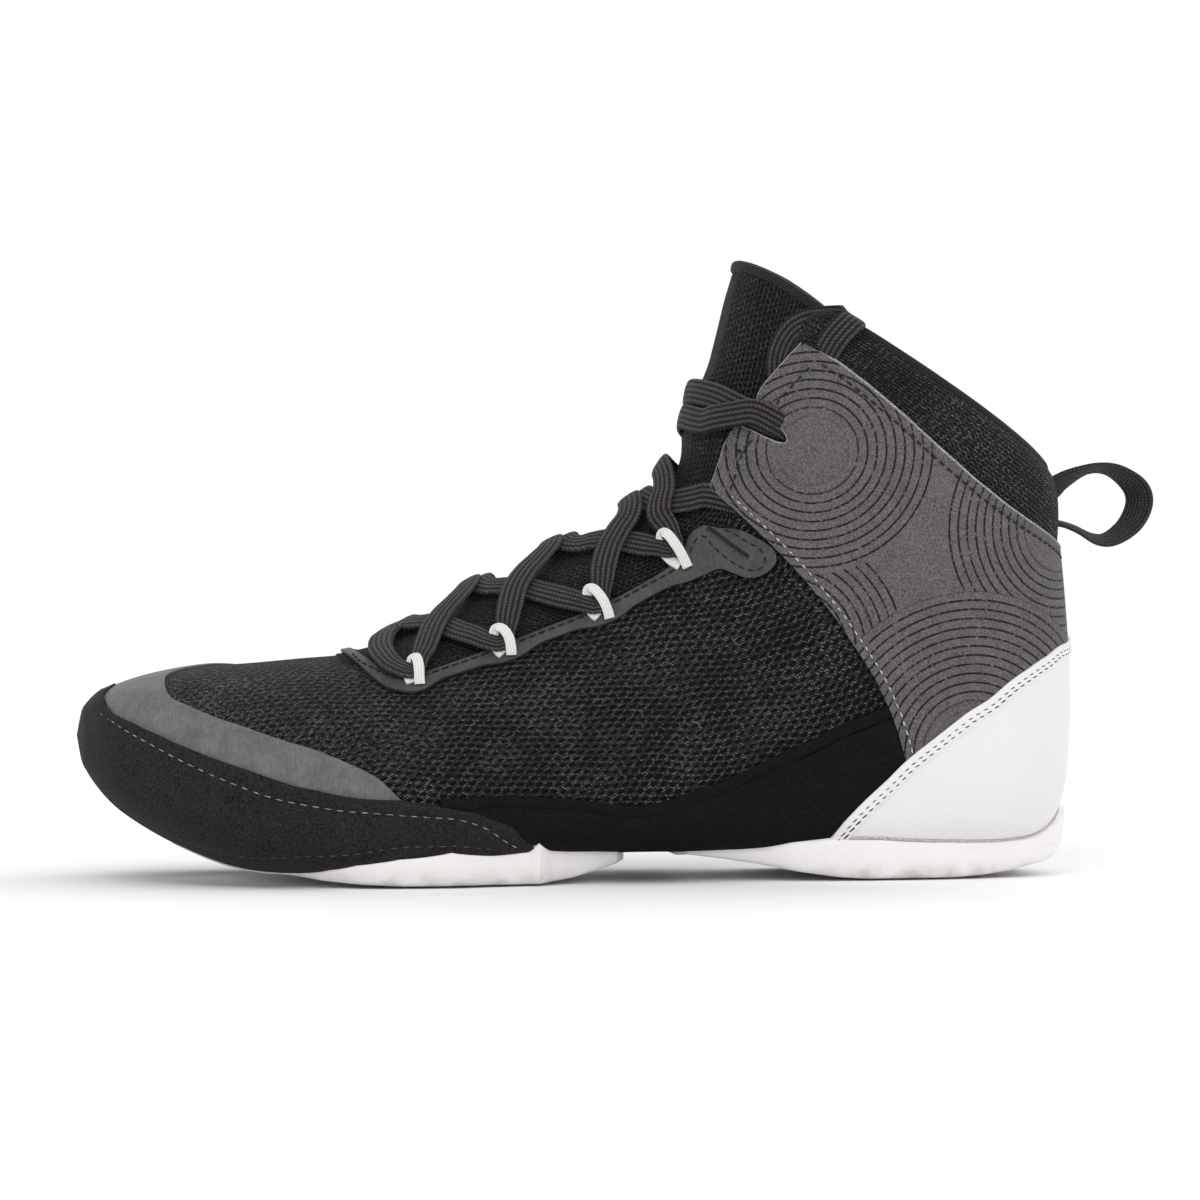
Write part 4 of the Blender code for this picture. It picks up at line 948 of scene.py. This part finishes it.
def eyestayShape(s, t):
    u, v = between(*eyestayEdges(), s, t)
    side = np.where(v < 0, -1, 1)
    for section, reach in eyestayLook["tabs"]:
        v = v + side * reach * t * np.exp(-np.abs((u - section) / .34) ** 3)
    lift = eyestayLook["lift"] - .0003 * smooth(.12, 0, t)
    return u, v, lift, lengthwise(u, v)


sheetPiece("eyestay_tape", (280, 12), eyestayShape, "eyestay", ["eyestay"], wall=eyestayLook["wall"],
           edge=.0002)
print("eyestay made")

tongueLook = {
    "reach": ((4.75, .13), (5.2, .17), (6.0, .21), (8.0, .22), (12.0, .22), (15.0, .27), (19.0, .32)),
    "thickness": .0048, "edge": .0016, "gap": .0013, "forward": .0033, "cells": (110, 96), "pad": .0042,
}


def tonguePlace(row, across):
    spread = float(at(tongueLook["reach"], row))
    centre = .5 * (at(throatLateral, row) - at(throatMedial, row)) if row > 5.1 else 0
    around = centre + across * (spread + (.04 if row < 12 else .04 * (1 - smooth(12, 12.6, row))))
    section = row - .45 * np.abs(across) ** 3 * max(0, (row - 18) / 1.5)
    middle = np.abs(around) / .155
    forward = tongueLook["forward"] * smooth(12.4, 13.8, section) * np.clip(1 - middle ** 2.5, 0, 1)
    pad = tongueLook["pad"] * np.clip(1 - np.abs(across) ** 4, 0, 1) * (1 - smooth(13.2, 16.2, row))
    return section, around, forward + pad - last["wall"] - tongueLook["gap"]


def makeTongue():
    rows, columns = tongueLook["cells"]
    a = (np.arange(columns) + .5) * 2 * math.pi / columns
    across, high = boxy(np.cos(a), .55), boxy(np.sin(a), .45)
    rings = []
    for row in np.linspace(4.76, 19.12, rows):
        section, around, face = tonguePlace(row, across)
        deep = tongueLook["edge"] + (tongueLook["thickness"] - tongueLook["edge"]) * (1 - np.abs(across) ** 4)
        deep = deep * np.clip(.4 + (row - 4.75) * .8, .4, 1)
        close = math.sqrt(max(.02, 1 - max(0, (row - 18.83) / .3) ** 2))
        lift = face - deep / 2 + high * deep / 2 * close
        rings.append(form(section, around, lift))
    rings = np.array(rings)
    loftPiece("tongue_pad", rings, ringMap(rings, rows // 2, columns // 4), "tongue", ["tongue"])


def tongueEdge(row, drop):  # the line of the tongue's own top edge
    across = np.linspace(-1, 1, 41)
    section, around, face = tonguePlace(row, across)
    return [(u, v, lift - drop) for u, v, lift in zip(section, around, face)]


makeTongue()
strandPiece("tongue_binding", tongueEdge(19.07, .0018),
            {"width": .0034, "thickness": .0046, "square": .7, "around": 16}, "binding", count=120)
print("tongue made")

insoleLook = {
    "reach": ((1.2, .15), (1.6, .22), (2.1, .26), (3.0, .28), (5.0, .285), (6.5, .265), (8.0, .215),
              (10.0, .168), (11.5, .13), (12.3, .08)), "thickness": .003, "gap": .0007,
}


def makeInsole():
    columns = 48
    a = np.arange(columns) * 2 * math.pi / columns
    across, high = boxy(np.cos(a), .6), boxy(np.sin(a), .5)
    rings, places = [], []
    for row in np.linspace(1.21, 12.29, 90):
        around = 1 + across * at(insoleLook["reach"], row)
        lift = -last["wall"] - insoleLook["gap"] + (high - 1) * insoleLook["thickness"] / 2
        rings.append(form(np.full(columns, row), around, lift))
        flat = lengthwise(np.full(columns, row), around)
        places.append(np.concatenate([flat, flat[:1]]))
    loftPiece("insole_board", np.array(rings), np.array(places), "insole", ["insole"])


makeInsole()
print("insole made")

outsoleLook = {
    # share of the length from the heel, share of the sole thickness over the floor
    "floor": ((-.02, 1.4), (.0, 1.05), (.03, .60), (.065, .28), (.10, .08), (.13, .0), (.22, .0), (.25, .09),
              (.29, .34), (.33, .68), (.37, .94), (.40, 1.10), (.43, 1.12), (.46, .92), (.49, .55),
              (.52, .20), (.55, .03), (.57, .0), (.69, .0), (.73, .07), (.77, .24), (.81, .52),
              (.85, .92), (.88, 1.30), (.91, 1.75), (.95, 2.4)),
    "gap": .0009, "rim": .0019, "heelRim": .0020, "edge": .0004,
    "stops": (0, .004, .15, .3, .48, .65, .82, .96, 1.006, 1.10, 1.22, 1.33, 1.5, 1.66, 1.83, 2),
    "drop": (1, .995, .90, .80, .62, .42, .26, .16, .10, .035, .0, .0, .0, .0, .0, .0),
    "width": (1, 1, .9985, .995, .988, .975, .962, .948, .935, .905, .84, .70, .55, .40, .20, 0),
}


def outsoleRing(row, e):
    look = outsoleLook
    turn = max(float(at(soleWindow, row)), e + .3 * (1 - e))
    stops, drop, width = np.array(look["stops"]), np.array(look["drop"]), np.array(look["width"])
    near = np.where(stops <= 1, e + (turn - e) * stops, turn + (1 - turn) * np.minimum(1, stops - 1))
    top = form(np.full(2 * len(near) - 1, row), np.concatenate([near, (2 - near)[::-1][1:]]), look["gap"])
    rim = look["gap"] + look["rim"] + look["heelRim"] * smooth(12.4, 13.7, row)
    ends = form(np.full(3, row), np.array([e, 1.0, 2 - e]), rim)
    out = facing(row, 1.0)
    sink = float(smooth(.35, .85, -out[2]))
    start = formGrid[..., 0].min()
    share = 1 - (ends[1, 0] - start) / last["length"]
    centre = ends[1].copy()
    centre[2] = (1 - sink) * centre[2] + sink * min(centre[2], at(look["floor"], share) * last["sole"])
    sides = []
    for end in (ends[0], ends[2]):
        p = np.empty((len(stops), 3))
        p[:, :2] = centre[:2] + width[:, None] * (end[:2] - centre[:2])
        floor = at(look["floor"], 1 - (p[:, 0] - start) / last["length"]) * last["sole"]
        low = (1 - sink) * centre[2] + sink * np.minimum(centre[2] + .002, floor)
        p[:, 2] = low + drop * (end[2] - low)
        sides.append(p)
    return np.concatenate([sides[0], sides[1][::-1][1:], top[::-1]])


def makeOutsole(name, node, low, high, edge, count):
    rows = low + (high - low) * .5 * (1 - np.cos(np.linspace(0, math.pi, count)))
    rings = np.array([outsoleRing(row, float(at(edge, row))) for row in rows])
    flat = rings[..., :2] * 1000
    places = np.concatenate([flat, flat[:, :1]], axis=1)
    made = loftPiece(name, rings, places, "rubber", [node], crease=48)
    bevelEdges(made, outsoleLook["edge"], 55)


makeOutsole("outsole_forefoot_rubber", "outsole_forefoot", 1.9, 8.55, foreSoleEdge, 220)
makeOutsole("outsole_heel_rubber", "outsole_heel", 9.1, 13.95, heelSoleEdge, 160)
print("outsoles made")

laceLook = {"width": .0076, "thickness": .0016, "square": .55, "around": 26, "bow": .0004}
# rows are (section, around, lift, share of width); the medial side has minus signs; turns lie in the loops
laceBar = ((5.90, .038, .0036, 1), (5.70, .080, .0036, 1), (5.57, .145, .0034, .95), (5.68, .208, .0033, .9))
laceOne = (
    ((5.90, .240, .0032, .8), (6.06, .252, .0031, .7), (6.20, .245, .0034, .6), (6.30, .225, .0040, .7)),
    ((6.46, .200, .0042, .9), (6.76, .150, .0047, 1), (7.08, .110, .0050, 1), (7.44, .078, .0050, 1),
     (7.68, .048, .0048, 1), (7.82, .008, .0045, 1), (7.84, -.04, .0042, 1), (7.80, -.09, .0036, 1)),
    ((7.74, -.125, .0032, .85), (7.78, -.143, .0030, .7), (7.90, -.150, .0032, .6), (8.02, -.142, .0034, .7)),
    ((8.10, -.115, .0036, .9), (8.10, -.07, .0036, 1), (8.02, -.02, .0034, 1), (7.98, .03, .0030, 1),
     (8.05, .062, .0028, 1), (8.20, .080, .0026, 1), (8.42, .105, .0025, 1), (8.64, .145, .0026, 1),
     (8.86, .178, .0029, 1), (9.05, .202, .0031, .9)),
    ((9.16, .216, .0032, .8), (9.27, .226, .0031, .7), (9.38, .218, .0034, .6), (9.43, .202, .0040, .7)),
    ((9.51, .180, .0042, .9), (9.66, .148, .0048, 1), (9.92, .110, .0051, 1), (10.24, .078, .0051, 1),
     (10.54, .054, .0050, 1), (10.76, .020, .0047, 1), (10.82, -.02, .0044, 1), (10.78, -.055, .0037, 1)),
    ((10.74, -.076, .0032, .85), (10.78, -.087, .0030, .7), (10.88, -.092, .0032, .6),
     (11.00, -.086, .0034, .7)),
    ((11.08, -.06, .0036, 1), (11.08, -.02, .0034, 1), (11.10, .02, .0030, 1), (11.20, .048, .0028, 1),
     (11.42, .068, .0027, 1), (11.80, .090, .0027, 1), (12.20, .108, .0020, 1), (12.50, .135, .0006, 1),
     (12.80, .165, -.0010, 1), (13.10, .190, -.0014, 1)),
)
laceTwo = (
    ((5.90, .038, .0036, 1), (6.06, .0, .0035, 1), (6.14, -.05, .0034, 1), (6.10, -.10, .0033, 1)),
    ((6.05, -.132, .0032, .85), (6.08, -.148, .0030, .7), (6.20, -.155, .0032, .6), (6.33, -.147, .0034, .7)),
    ((6.42, -.115, .0036, .9), (6.44, -.07, .0036, 1), (6.40, -.02, .0034, 1), (6.44, .022, .0030, 1),
     (6.60, .052, .0027, 1), (6.82, .080, .0025, 1), (7.00, .125, .0025, 1), (7.20, .170, .0027, 1),
     (7.42, .205, .0030, .95)),
    ((7.62, .238, .0032, .8), (7.77, .252, .0031, .7), (7.90, .245, .0034, .6), (7.95, .228, .0040, .7)),
    ((8.02, .205, .0042, .9), (8.18, .165, .0048, 1), (8.36, .125, .0051, 1), (8.60, .090, .0051, 1),
     (8.86, .064, .0050, 1), (9.10, .036, .0048, 1), (9.22, .0, .0045, 1), (9.24, -.045, .0042, 1),
     (9.18, -.085, .0036, 1)),
    ((9.12, -.110, .0032, .85), (9.18, -.128, .0030, .7), (9.30, -.136, .0032, .6), (9.43, -.128, .0034, .7)),
    ((9.52, -.10, .0036, .9), (9.54, -.055, .0036, 1), (9.46, -.01, .0034, 1), (9.44, .028, .0030, 1),
     (9.56, .050, .0028, 1), (9.78, .058, .0026, 1), (10.02, .072, .0025, 1), (10.24, .097, .0026, 1),
     (10.44, .120, .0029, 1)),
    ((10.62, .138, .0031, .8), (10.77, .152, .0031, .7), (10.90, .148, .0034, .6), (10.94, .135, .0040, .7)),
    ((10.98, .112, .0042, .9), (11.02, .085, .0048, 1), (11.24, .066, .0051, 1), (11.56, .050, .0050, 1),
     (11.84, .026, .0048, 1), (12.02, -.01, .0044, 1), (12.12, -.05, .0036, 1), (12.28, -.09, .0018, 1),
     (12.50, -.12, .0004, 1)),
)
crossed = ["lace_cross_1", "lace_cross_2", "lace_cross_3", "lace_cross_4"]
strandPiece("lace_one", sum((laceBar, *laceOne), ()), laceLook, "lace",
            ["lace_bar"] + crossed, count=460)
strandPiece("lace_two", sum(laceTwo, ()), laceLook, "lace", ["lace_bar"] + crossed, count=460)
frontLook = {
    "path": ((15.30, .268, -.0014, .9), (15.44, .248, -.0010, .9), (15.52, .226, .0006, .95),
             (15.50, .200, .0028, 1), (15.36, .165, .0044, 1), (14.92, .130, .0052, 1),
             (14.36, .090, .0052, 1), (14.02, .066, .0042, 1), (13.82, .034, .0034, 1),
             (13.76, .0, .0031, 1), (13.78, -.05, .0032, 1), (14.1, -.11, .0028, 1),
             (14.6, -.17, .0022, 1), (15.1, -.22, -.0006, 1)),
    "under": ((15.40, .225, -.0012, .9), (15.30, .185, .0010, 1), (15.12, .125, .0034, 1),
              (14.98, .085, .0034, 1), (14.78, .045, .0032, 1), (14.62, .0, .0030, 1),
              (14.54, -.06, .0028, 1), (14.60, -.12, .0022, 1), (14.75, -.17, .0008, 1)),
}
strandPiece("lace_front_strand", frontLook["path"], laceLook, "lace", ["lace_front"], count=150)
strandPiece("lace_under_strand", frontLook["under"], laceLook, "lace", ["lace_front"], count=90)

# the loose lace over the collar, seen between the strap's top edge and the tongue
endLook = {
    "path": ((17.55, .285, -.0006), (18.00, .300, .0012), (18.42, .317, .0034), (18.78, .334, .0040),
             (19.02, .347, .0036), (19.14, .353, .0016), (19.12, .342, -.0006), (18.96, .318, -.0017),
             (18.70, .282, -.0022), (18.40, .246, -.0022), (18.00, .217, -.0019), (17.48, .198, -.0016),
             (17.0, .192, -.0014), (16.5, .198, -.0016), (16.0, .212, -.0022)),
    "width": .0080, "thickness": .0017, "square": .55, "around": 26, "bow": .0003, "count": 150,
}


def makeLaceEnd():
    line, points, want, length = evenRoute(endLook["path"], endLook["count"])
    ahead = unit(np.gradient(points, axis=0))
    side = squareTo(ahead, form(line[:, 0], line[:, 1] + .01) - form(line[:, 0], line[:, 1] - .01))
    made = sweep("lace_end_strand", points, side, np.cross(side, ahead), np.ones(len(points)), length,
                 endLook, "lace", ["lace_end"])


makeLaceEnd()
print("laces made")

loopLook = {"width": .0030, "thickness": .0010, "square": .5, "around": 14}
loopRoutes = (  # (section, around, lift): base, over the lace, tip, under the lace, base
    ((6.17, .286, .0020), (6.18, .274, .0032), (6.21, .256, .0048), (6.21, .236, .0056), (6.15, .224, .0048),
     (6.06, .232, .0030), (6.01, .248, .0023), (5.99, .264, .0020), (6.01, .276, .0020)),
    ((7.90, .284, .0020), (7.92, .272, .0034), (7.93, .252, .0050), (7.88, .232, .0058), (7.79, .222, .0050),
     (7.72, .234, .0030), (7.70, .250, .0023), (7.73, .266, .0020), (7.77, .277, .0020)),
    ((9.38, .258, .0020), (9.39, .243, .0034), (9.38, .222, .0050), (9.33, .199, .0058), (9.26, .192, .0050),
     (9.20, .206, .0030), (9.18, .222, .0023), (9.19, .238, .0020), (9.23, .250, .0020)),
    ((10.85, .196, .0020), (10.87, .180, .0034), (10.89, .156, .0050), (10.88, .132, .0058),
     (10.81, .122, .0050), (10.70, .134, .0030), (10.66, .150, .0023), (10.68, .170, .0020),
     (10.75, .188, .0020)),
)


def makeLoops():
    for side, word in sides:
        for k, table in enumerate(loopRoutes):
            share = 1 if side > 0 else .62
            strandPiece("loop_tape_%s_%d" % (word, k + 1),
                        [(u, side * share * v, lift) for u, v, lift in table],
                        loopLook, "tape", ["loop_%s_%d" % (word, k + 1)], count=60)


makeLoops()
print("loops made")

pullLook = {
    # metres behind the heel and above the floor, degrees of twist, from the lower end round to the upper
    "spots": ((-.0030, .1022, 6), (.0038, .1019, 8), (.0091, .1002, 12), (.0148, .0973, 16),
              (.0197, .0974, 16), (.0254, .1016, 22), (.0283, .1077, 25), (.0269, .1129, 22),
              (.0206, .1175, 12), (.0139, .1180, 12), (.0067, .1151, 26), (.0025, .1123, 36),
              (-.0025, .1085, 40)),
    "width": .0120, "thickness": .0013, "around": 30, "square": .5,
}


def makePullLoop():
    t = along(pullLook["spots"], np.linspace(0, len(pullLook["spots"]) - 1, 160))
    heel = form(18.5, 1.0)
    points = np.stack([heel[0] + t[:, 0], np.full(len(t), heel[1]), t[:, 1]], 1)
    ahead = unit(np.gradient(points, axis=0))
    out = np.cross(ahead, (0, 1, 0))
    twist = np.radians(t[:, 2:3])
    side = np.cos(twist) * np.array([0, 1, 0]) + np.sin(twist) * out
    sweep("pull_loop_webbing", points, side, np.cross(ahead, side), np.ones(len(t)),
          evenly(points, 2)[1], pullLook, "webbing", ["pull_loop"])


makePullLoop()
print("pull loop made")

seam = {"long": .0025, "thick": .00048, "pitch": .0034}
for inset, word in zip(counterLook["seams"], ("upper", "lower")):
    stitchPiece("counter_stitches_" + word, [counterTop],
                dict(seam, lift=.0026, thick=.00062, long=.0027, pitch=.0026, inset=inset, slant=9),
                "blackThread")
lowEdge = [(at(strapLook["low"], v), v) for v in np.linspace(.655, .14, 22)]
stitchPiece("strap_low_stitches", [lowEdge, mirrored(lowEdge)[::-1]],
            dict(seam, lift=.0024, long=.0019, pitch=.0027, thick=.0006, inset=.0024), "paleThread")
topEdge = [(at(strapLook["top"], v), v) for v in np.linspace(.30, 1.0, 15)]
stitchPiece("strap_top_stitches", [overHeel(topEdge)],
            dict(seam, lift=.0020, long=.0022, pitch=.0029, thick=.0006, inset=strapLook["topHem"]),
            "blackThread")
rawLook = {"width": .0008, "thickness": .0009, "square": .9, "around": 10}
rawEdge = [(*frontPlace(t), .0022) for t in np.linspace(.01, .995, 90)]
for side, word in sides:
    strandPiece("strap_raw_edge_" + word, [(u, side * v, lift) for u, v, lift in rawEdge],
                rawLook, "rawSuede", count=260)
strandPiece("strap_raw_top",
            overHeel([(at(strapLook["top"], v), v, .0018) for v in np.linspace(.252, 1.0, 40)]),
            rawLook, "rawSuede", count=260)
joint = [(u, at(heelSoleEdge, u) - .003, .0024) for u in np.linspace(10.6, 13.9, 24)]
strandPiece("heel_sole_joint", overHeel(joint + [(13.95, 1.0, .0026)]),
            {"width": .0009, "thickness": .0008, "square": .9, "around": 10}, "jointShade",
            count=200)
for start, stop, word in ((.60, .95, "high"), (.03, .42, "low")):
    rows = [frontPlace(t) for t in np.linspace(start, stop, 12)]
    stitchPiece("strap_hem_stitches_" + word, [rows, mirrored(rows)[::-1]],
                dict(seam, lift=.0028, long=.0020, pitch=.0029, thick=.0006, inset=strapLook["hem"] - .0011),
                "blackThread")
eyeLine = ((4.98, .100), (5.10, .160), (5.40, .212), (5.75, .252), (6.4, .262), (7.75, .258), (8.55, .246),
           (9.35, .230), (10.05, .208), (10.6, .192), (10.85, .182))
stitchPiece("eyestay_stitches", [eyeLine, [(u, -.62 * v) for u, v in eyeLine]],
            dict(seam, lift=.0017, long=.0028, pitch=.0030, thick=.0008), "blackThread")
tabLine = ((11.02, .172), (11.25, .157), (11.46, .156), (11.50, .185), (11.56, .215), (11.70, .245),
           (11.88, .259), (12.12, .260), (12.27, .240), (12.14, .212), (12.02, .185), (11.9, .170))
stitchPiece("eyestay_tab_stitches", [tabLine, [(u, -.62 * v) for u, v in tabLine]],
            dict(seam, lift=.0018, long=.0024, pitch=.0029), "blackThread")
slit = ((11.66, .150, .0016), (11.74, .175, .0016), (11.82, .204, .0016), (11.93, .234, .0016))
strandPiece("eyestay_slit", slit, {"width": .0015, "thickness": .0008, "square": .7, "around": 12},
            "blackThread", count=30)
strandPiece("eyestay_slit_edge", [(u - .04, v + .003, lift) for u, v, lift in slit],
            {"width": .0007, "thickness": .0008, "square": .9, "around": 10}, "dimThread", count=30)
stitchPiece("collar_stitches",
            [overHeel([(18.2, .277), (18.5, .371), (18.57, .473), (18.55, .579), (18.57, .708),
                       (18.6, 1.0)])],
            dict(seam, lift=.0022, pitch=.0028, long=.0018), "blackThread")
print("stitches made")

stageLook = {"floor": (.90, .90, .905), "glow": .14, "world": 1.0, "key": 8.0, "rim": 4.0, "fill": 1.5}


def floorFinish():  # white floor that keeps a soft shadow near the shoe and ends in plain white
    made, tree, shader = newFinish("floor_white", .9, .05)
    far = node(tree, "VectorMath", {"operation": "LENGTH"}, Vector=node(tree, "TexCoord").outputs["Object"])
    shader.inputs["Base Color"].default_value = (*stageLook["floor"], 1)
    shader.inputs["Emission Color"].default_value = (1, 1, 1, 1)
    feed(tree, shader.inputs["Emission Strength"],
         step(tree, far.outputs["Value"], .18, .55, 0.0, stageLook["glow"]))
    return made


def makeStage():
    bm = bmesh.new()
    bmesh.ops.create_grid(bm, x_segments=1, y_segments=1, size=6)
    mesh = bpy.data.meshes.new("floor")
    bm.to_mesh(mesh)
    bm.free()
    mesh.materials.append(floorFinish())
    floor = bpy.data.objects.new("floor", mesh)
    floor.location.z = -.0004
    bpy.context.scene.collection.objects.link(floor)
    world = bpy.data.worlds.new("studio")
    world.use_nodes = True
    world.node_tree.nodes["Background"].inputs[0].default_value = (1, 1, 1, 1)
    world.node_tree.nodes["Background"].inputs[1].default_value = stageLook["world"]
    bpy.context.scene.world = world


def addLight(name, place, aim, size, power):
    data = bpy.data.lights.new(name, "AREA")
    data.shape, data.size, data.size_y, data.energy = "RECTANGLE", size[0], size[1], power
    made = bpy.data.objects.new(name, data)
    made.location = place
    made.rotation_euler = (Vector(aim) - Vector(place)).to_track_quat("-Z", "Y").to_euler()
    bpy.context.scene.collection.objects.link(made)


makeStage()
addLight("key", (-.6, -1.3, 1.5), (0, 0, .05), (1.2, 1.0), stageLook["key"])
addLight("rim", (1.1, .9, 1.1), (0, 0, .06), (.8, .8), stageLook["rim"])
addLight("fill", (.9, -1.4, .5), (0, 0, .06), (1.0, .8), stageLook["fill"])

cameraLook = {"turn": -8.0, "distance": 1.25, "height": .085, "lens": 129.75, "shift": (.01875, -.0159)}
turn = math.radians(cameraLook["turn"])
middle = Vector((formGrid[..., 0].min() + last["length"] / 2, (loopLow.y + loopHigh.y) / 2, 0))
lensData = bpy.data.cameras.new("camera")
lensData.lens, lensData.sensor_width = cameraLook["lens"], 36
lensData.shift_x, lensData.shift_y = cameraLook["shift"]
camera = bpy.data.objects.new("camera", lensData)
camera.location = middle + cameraLook["distance"] * Vector((math.sin(turn), -math.cos(turn), 0))
camera.location.z = cameraLook["height"]
camera.rotation_euler = (math.radians(90), 0, turn)
bpy.context.scene.collection.objects.link(camera)
bpy.context.scene.camera = camera
bpy.context.scene.view_settings.view_transform = "Standard"

print("stage set")
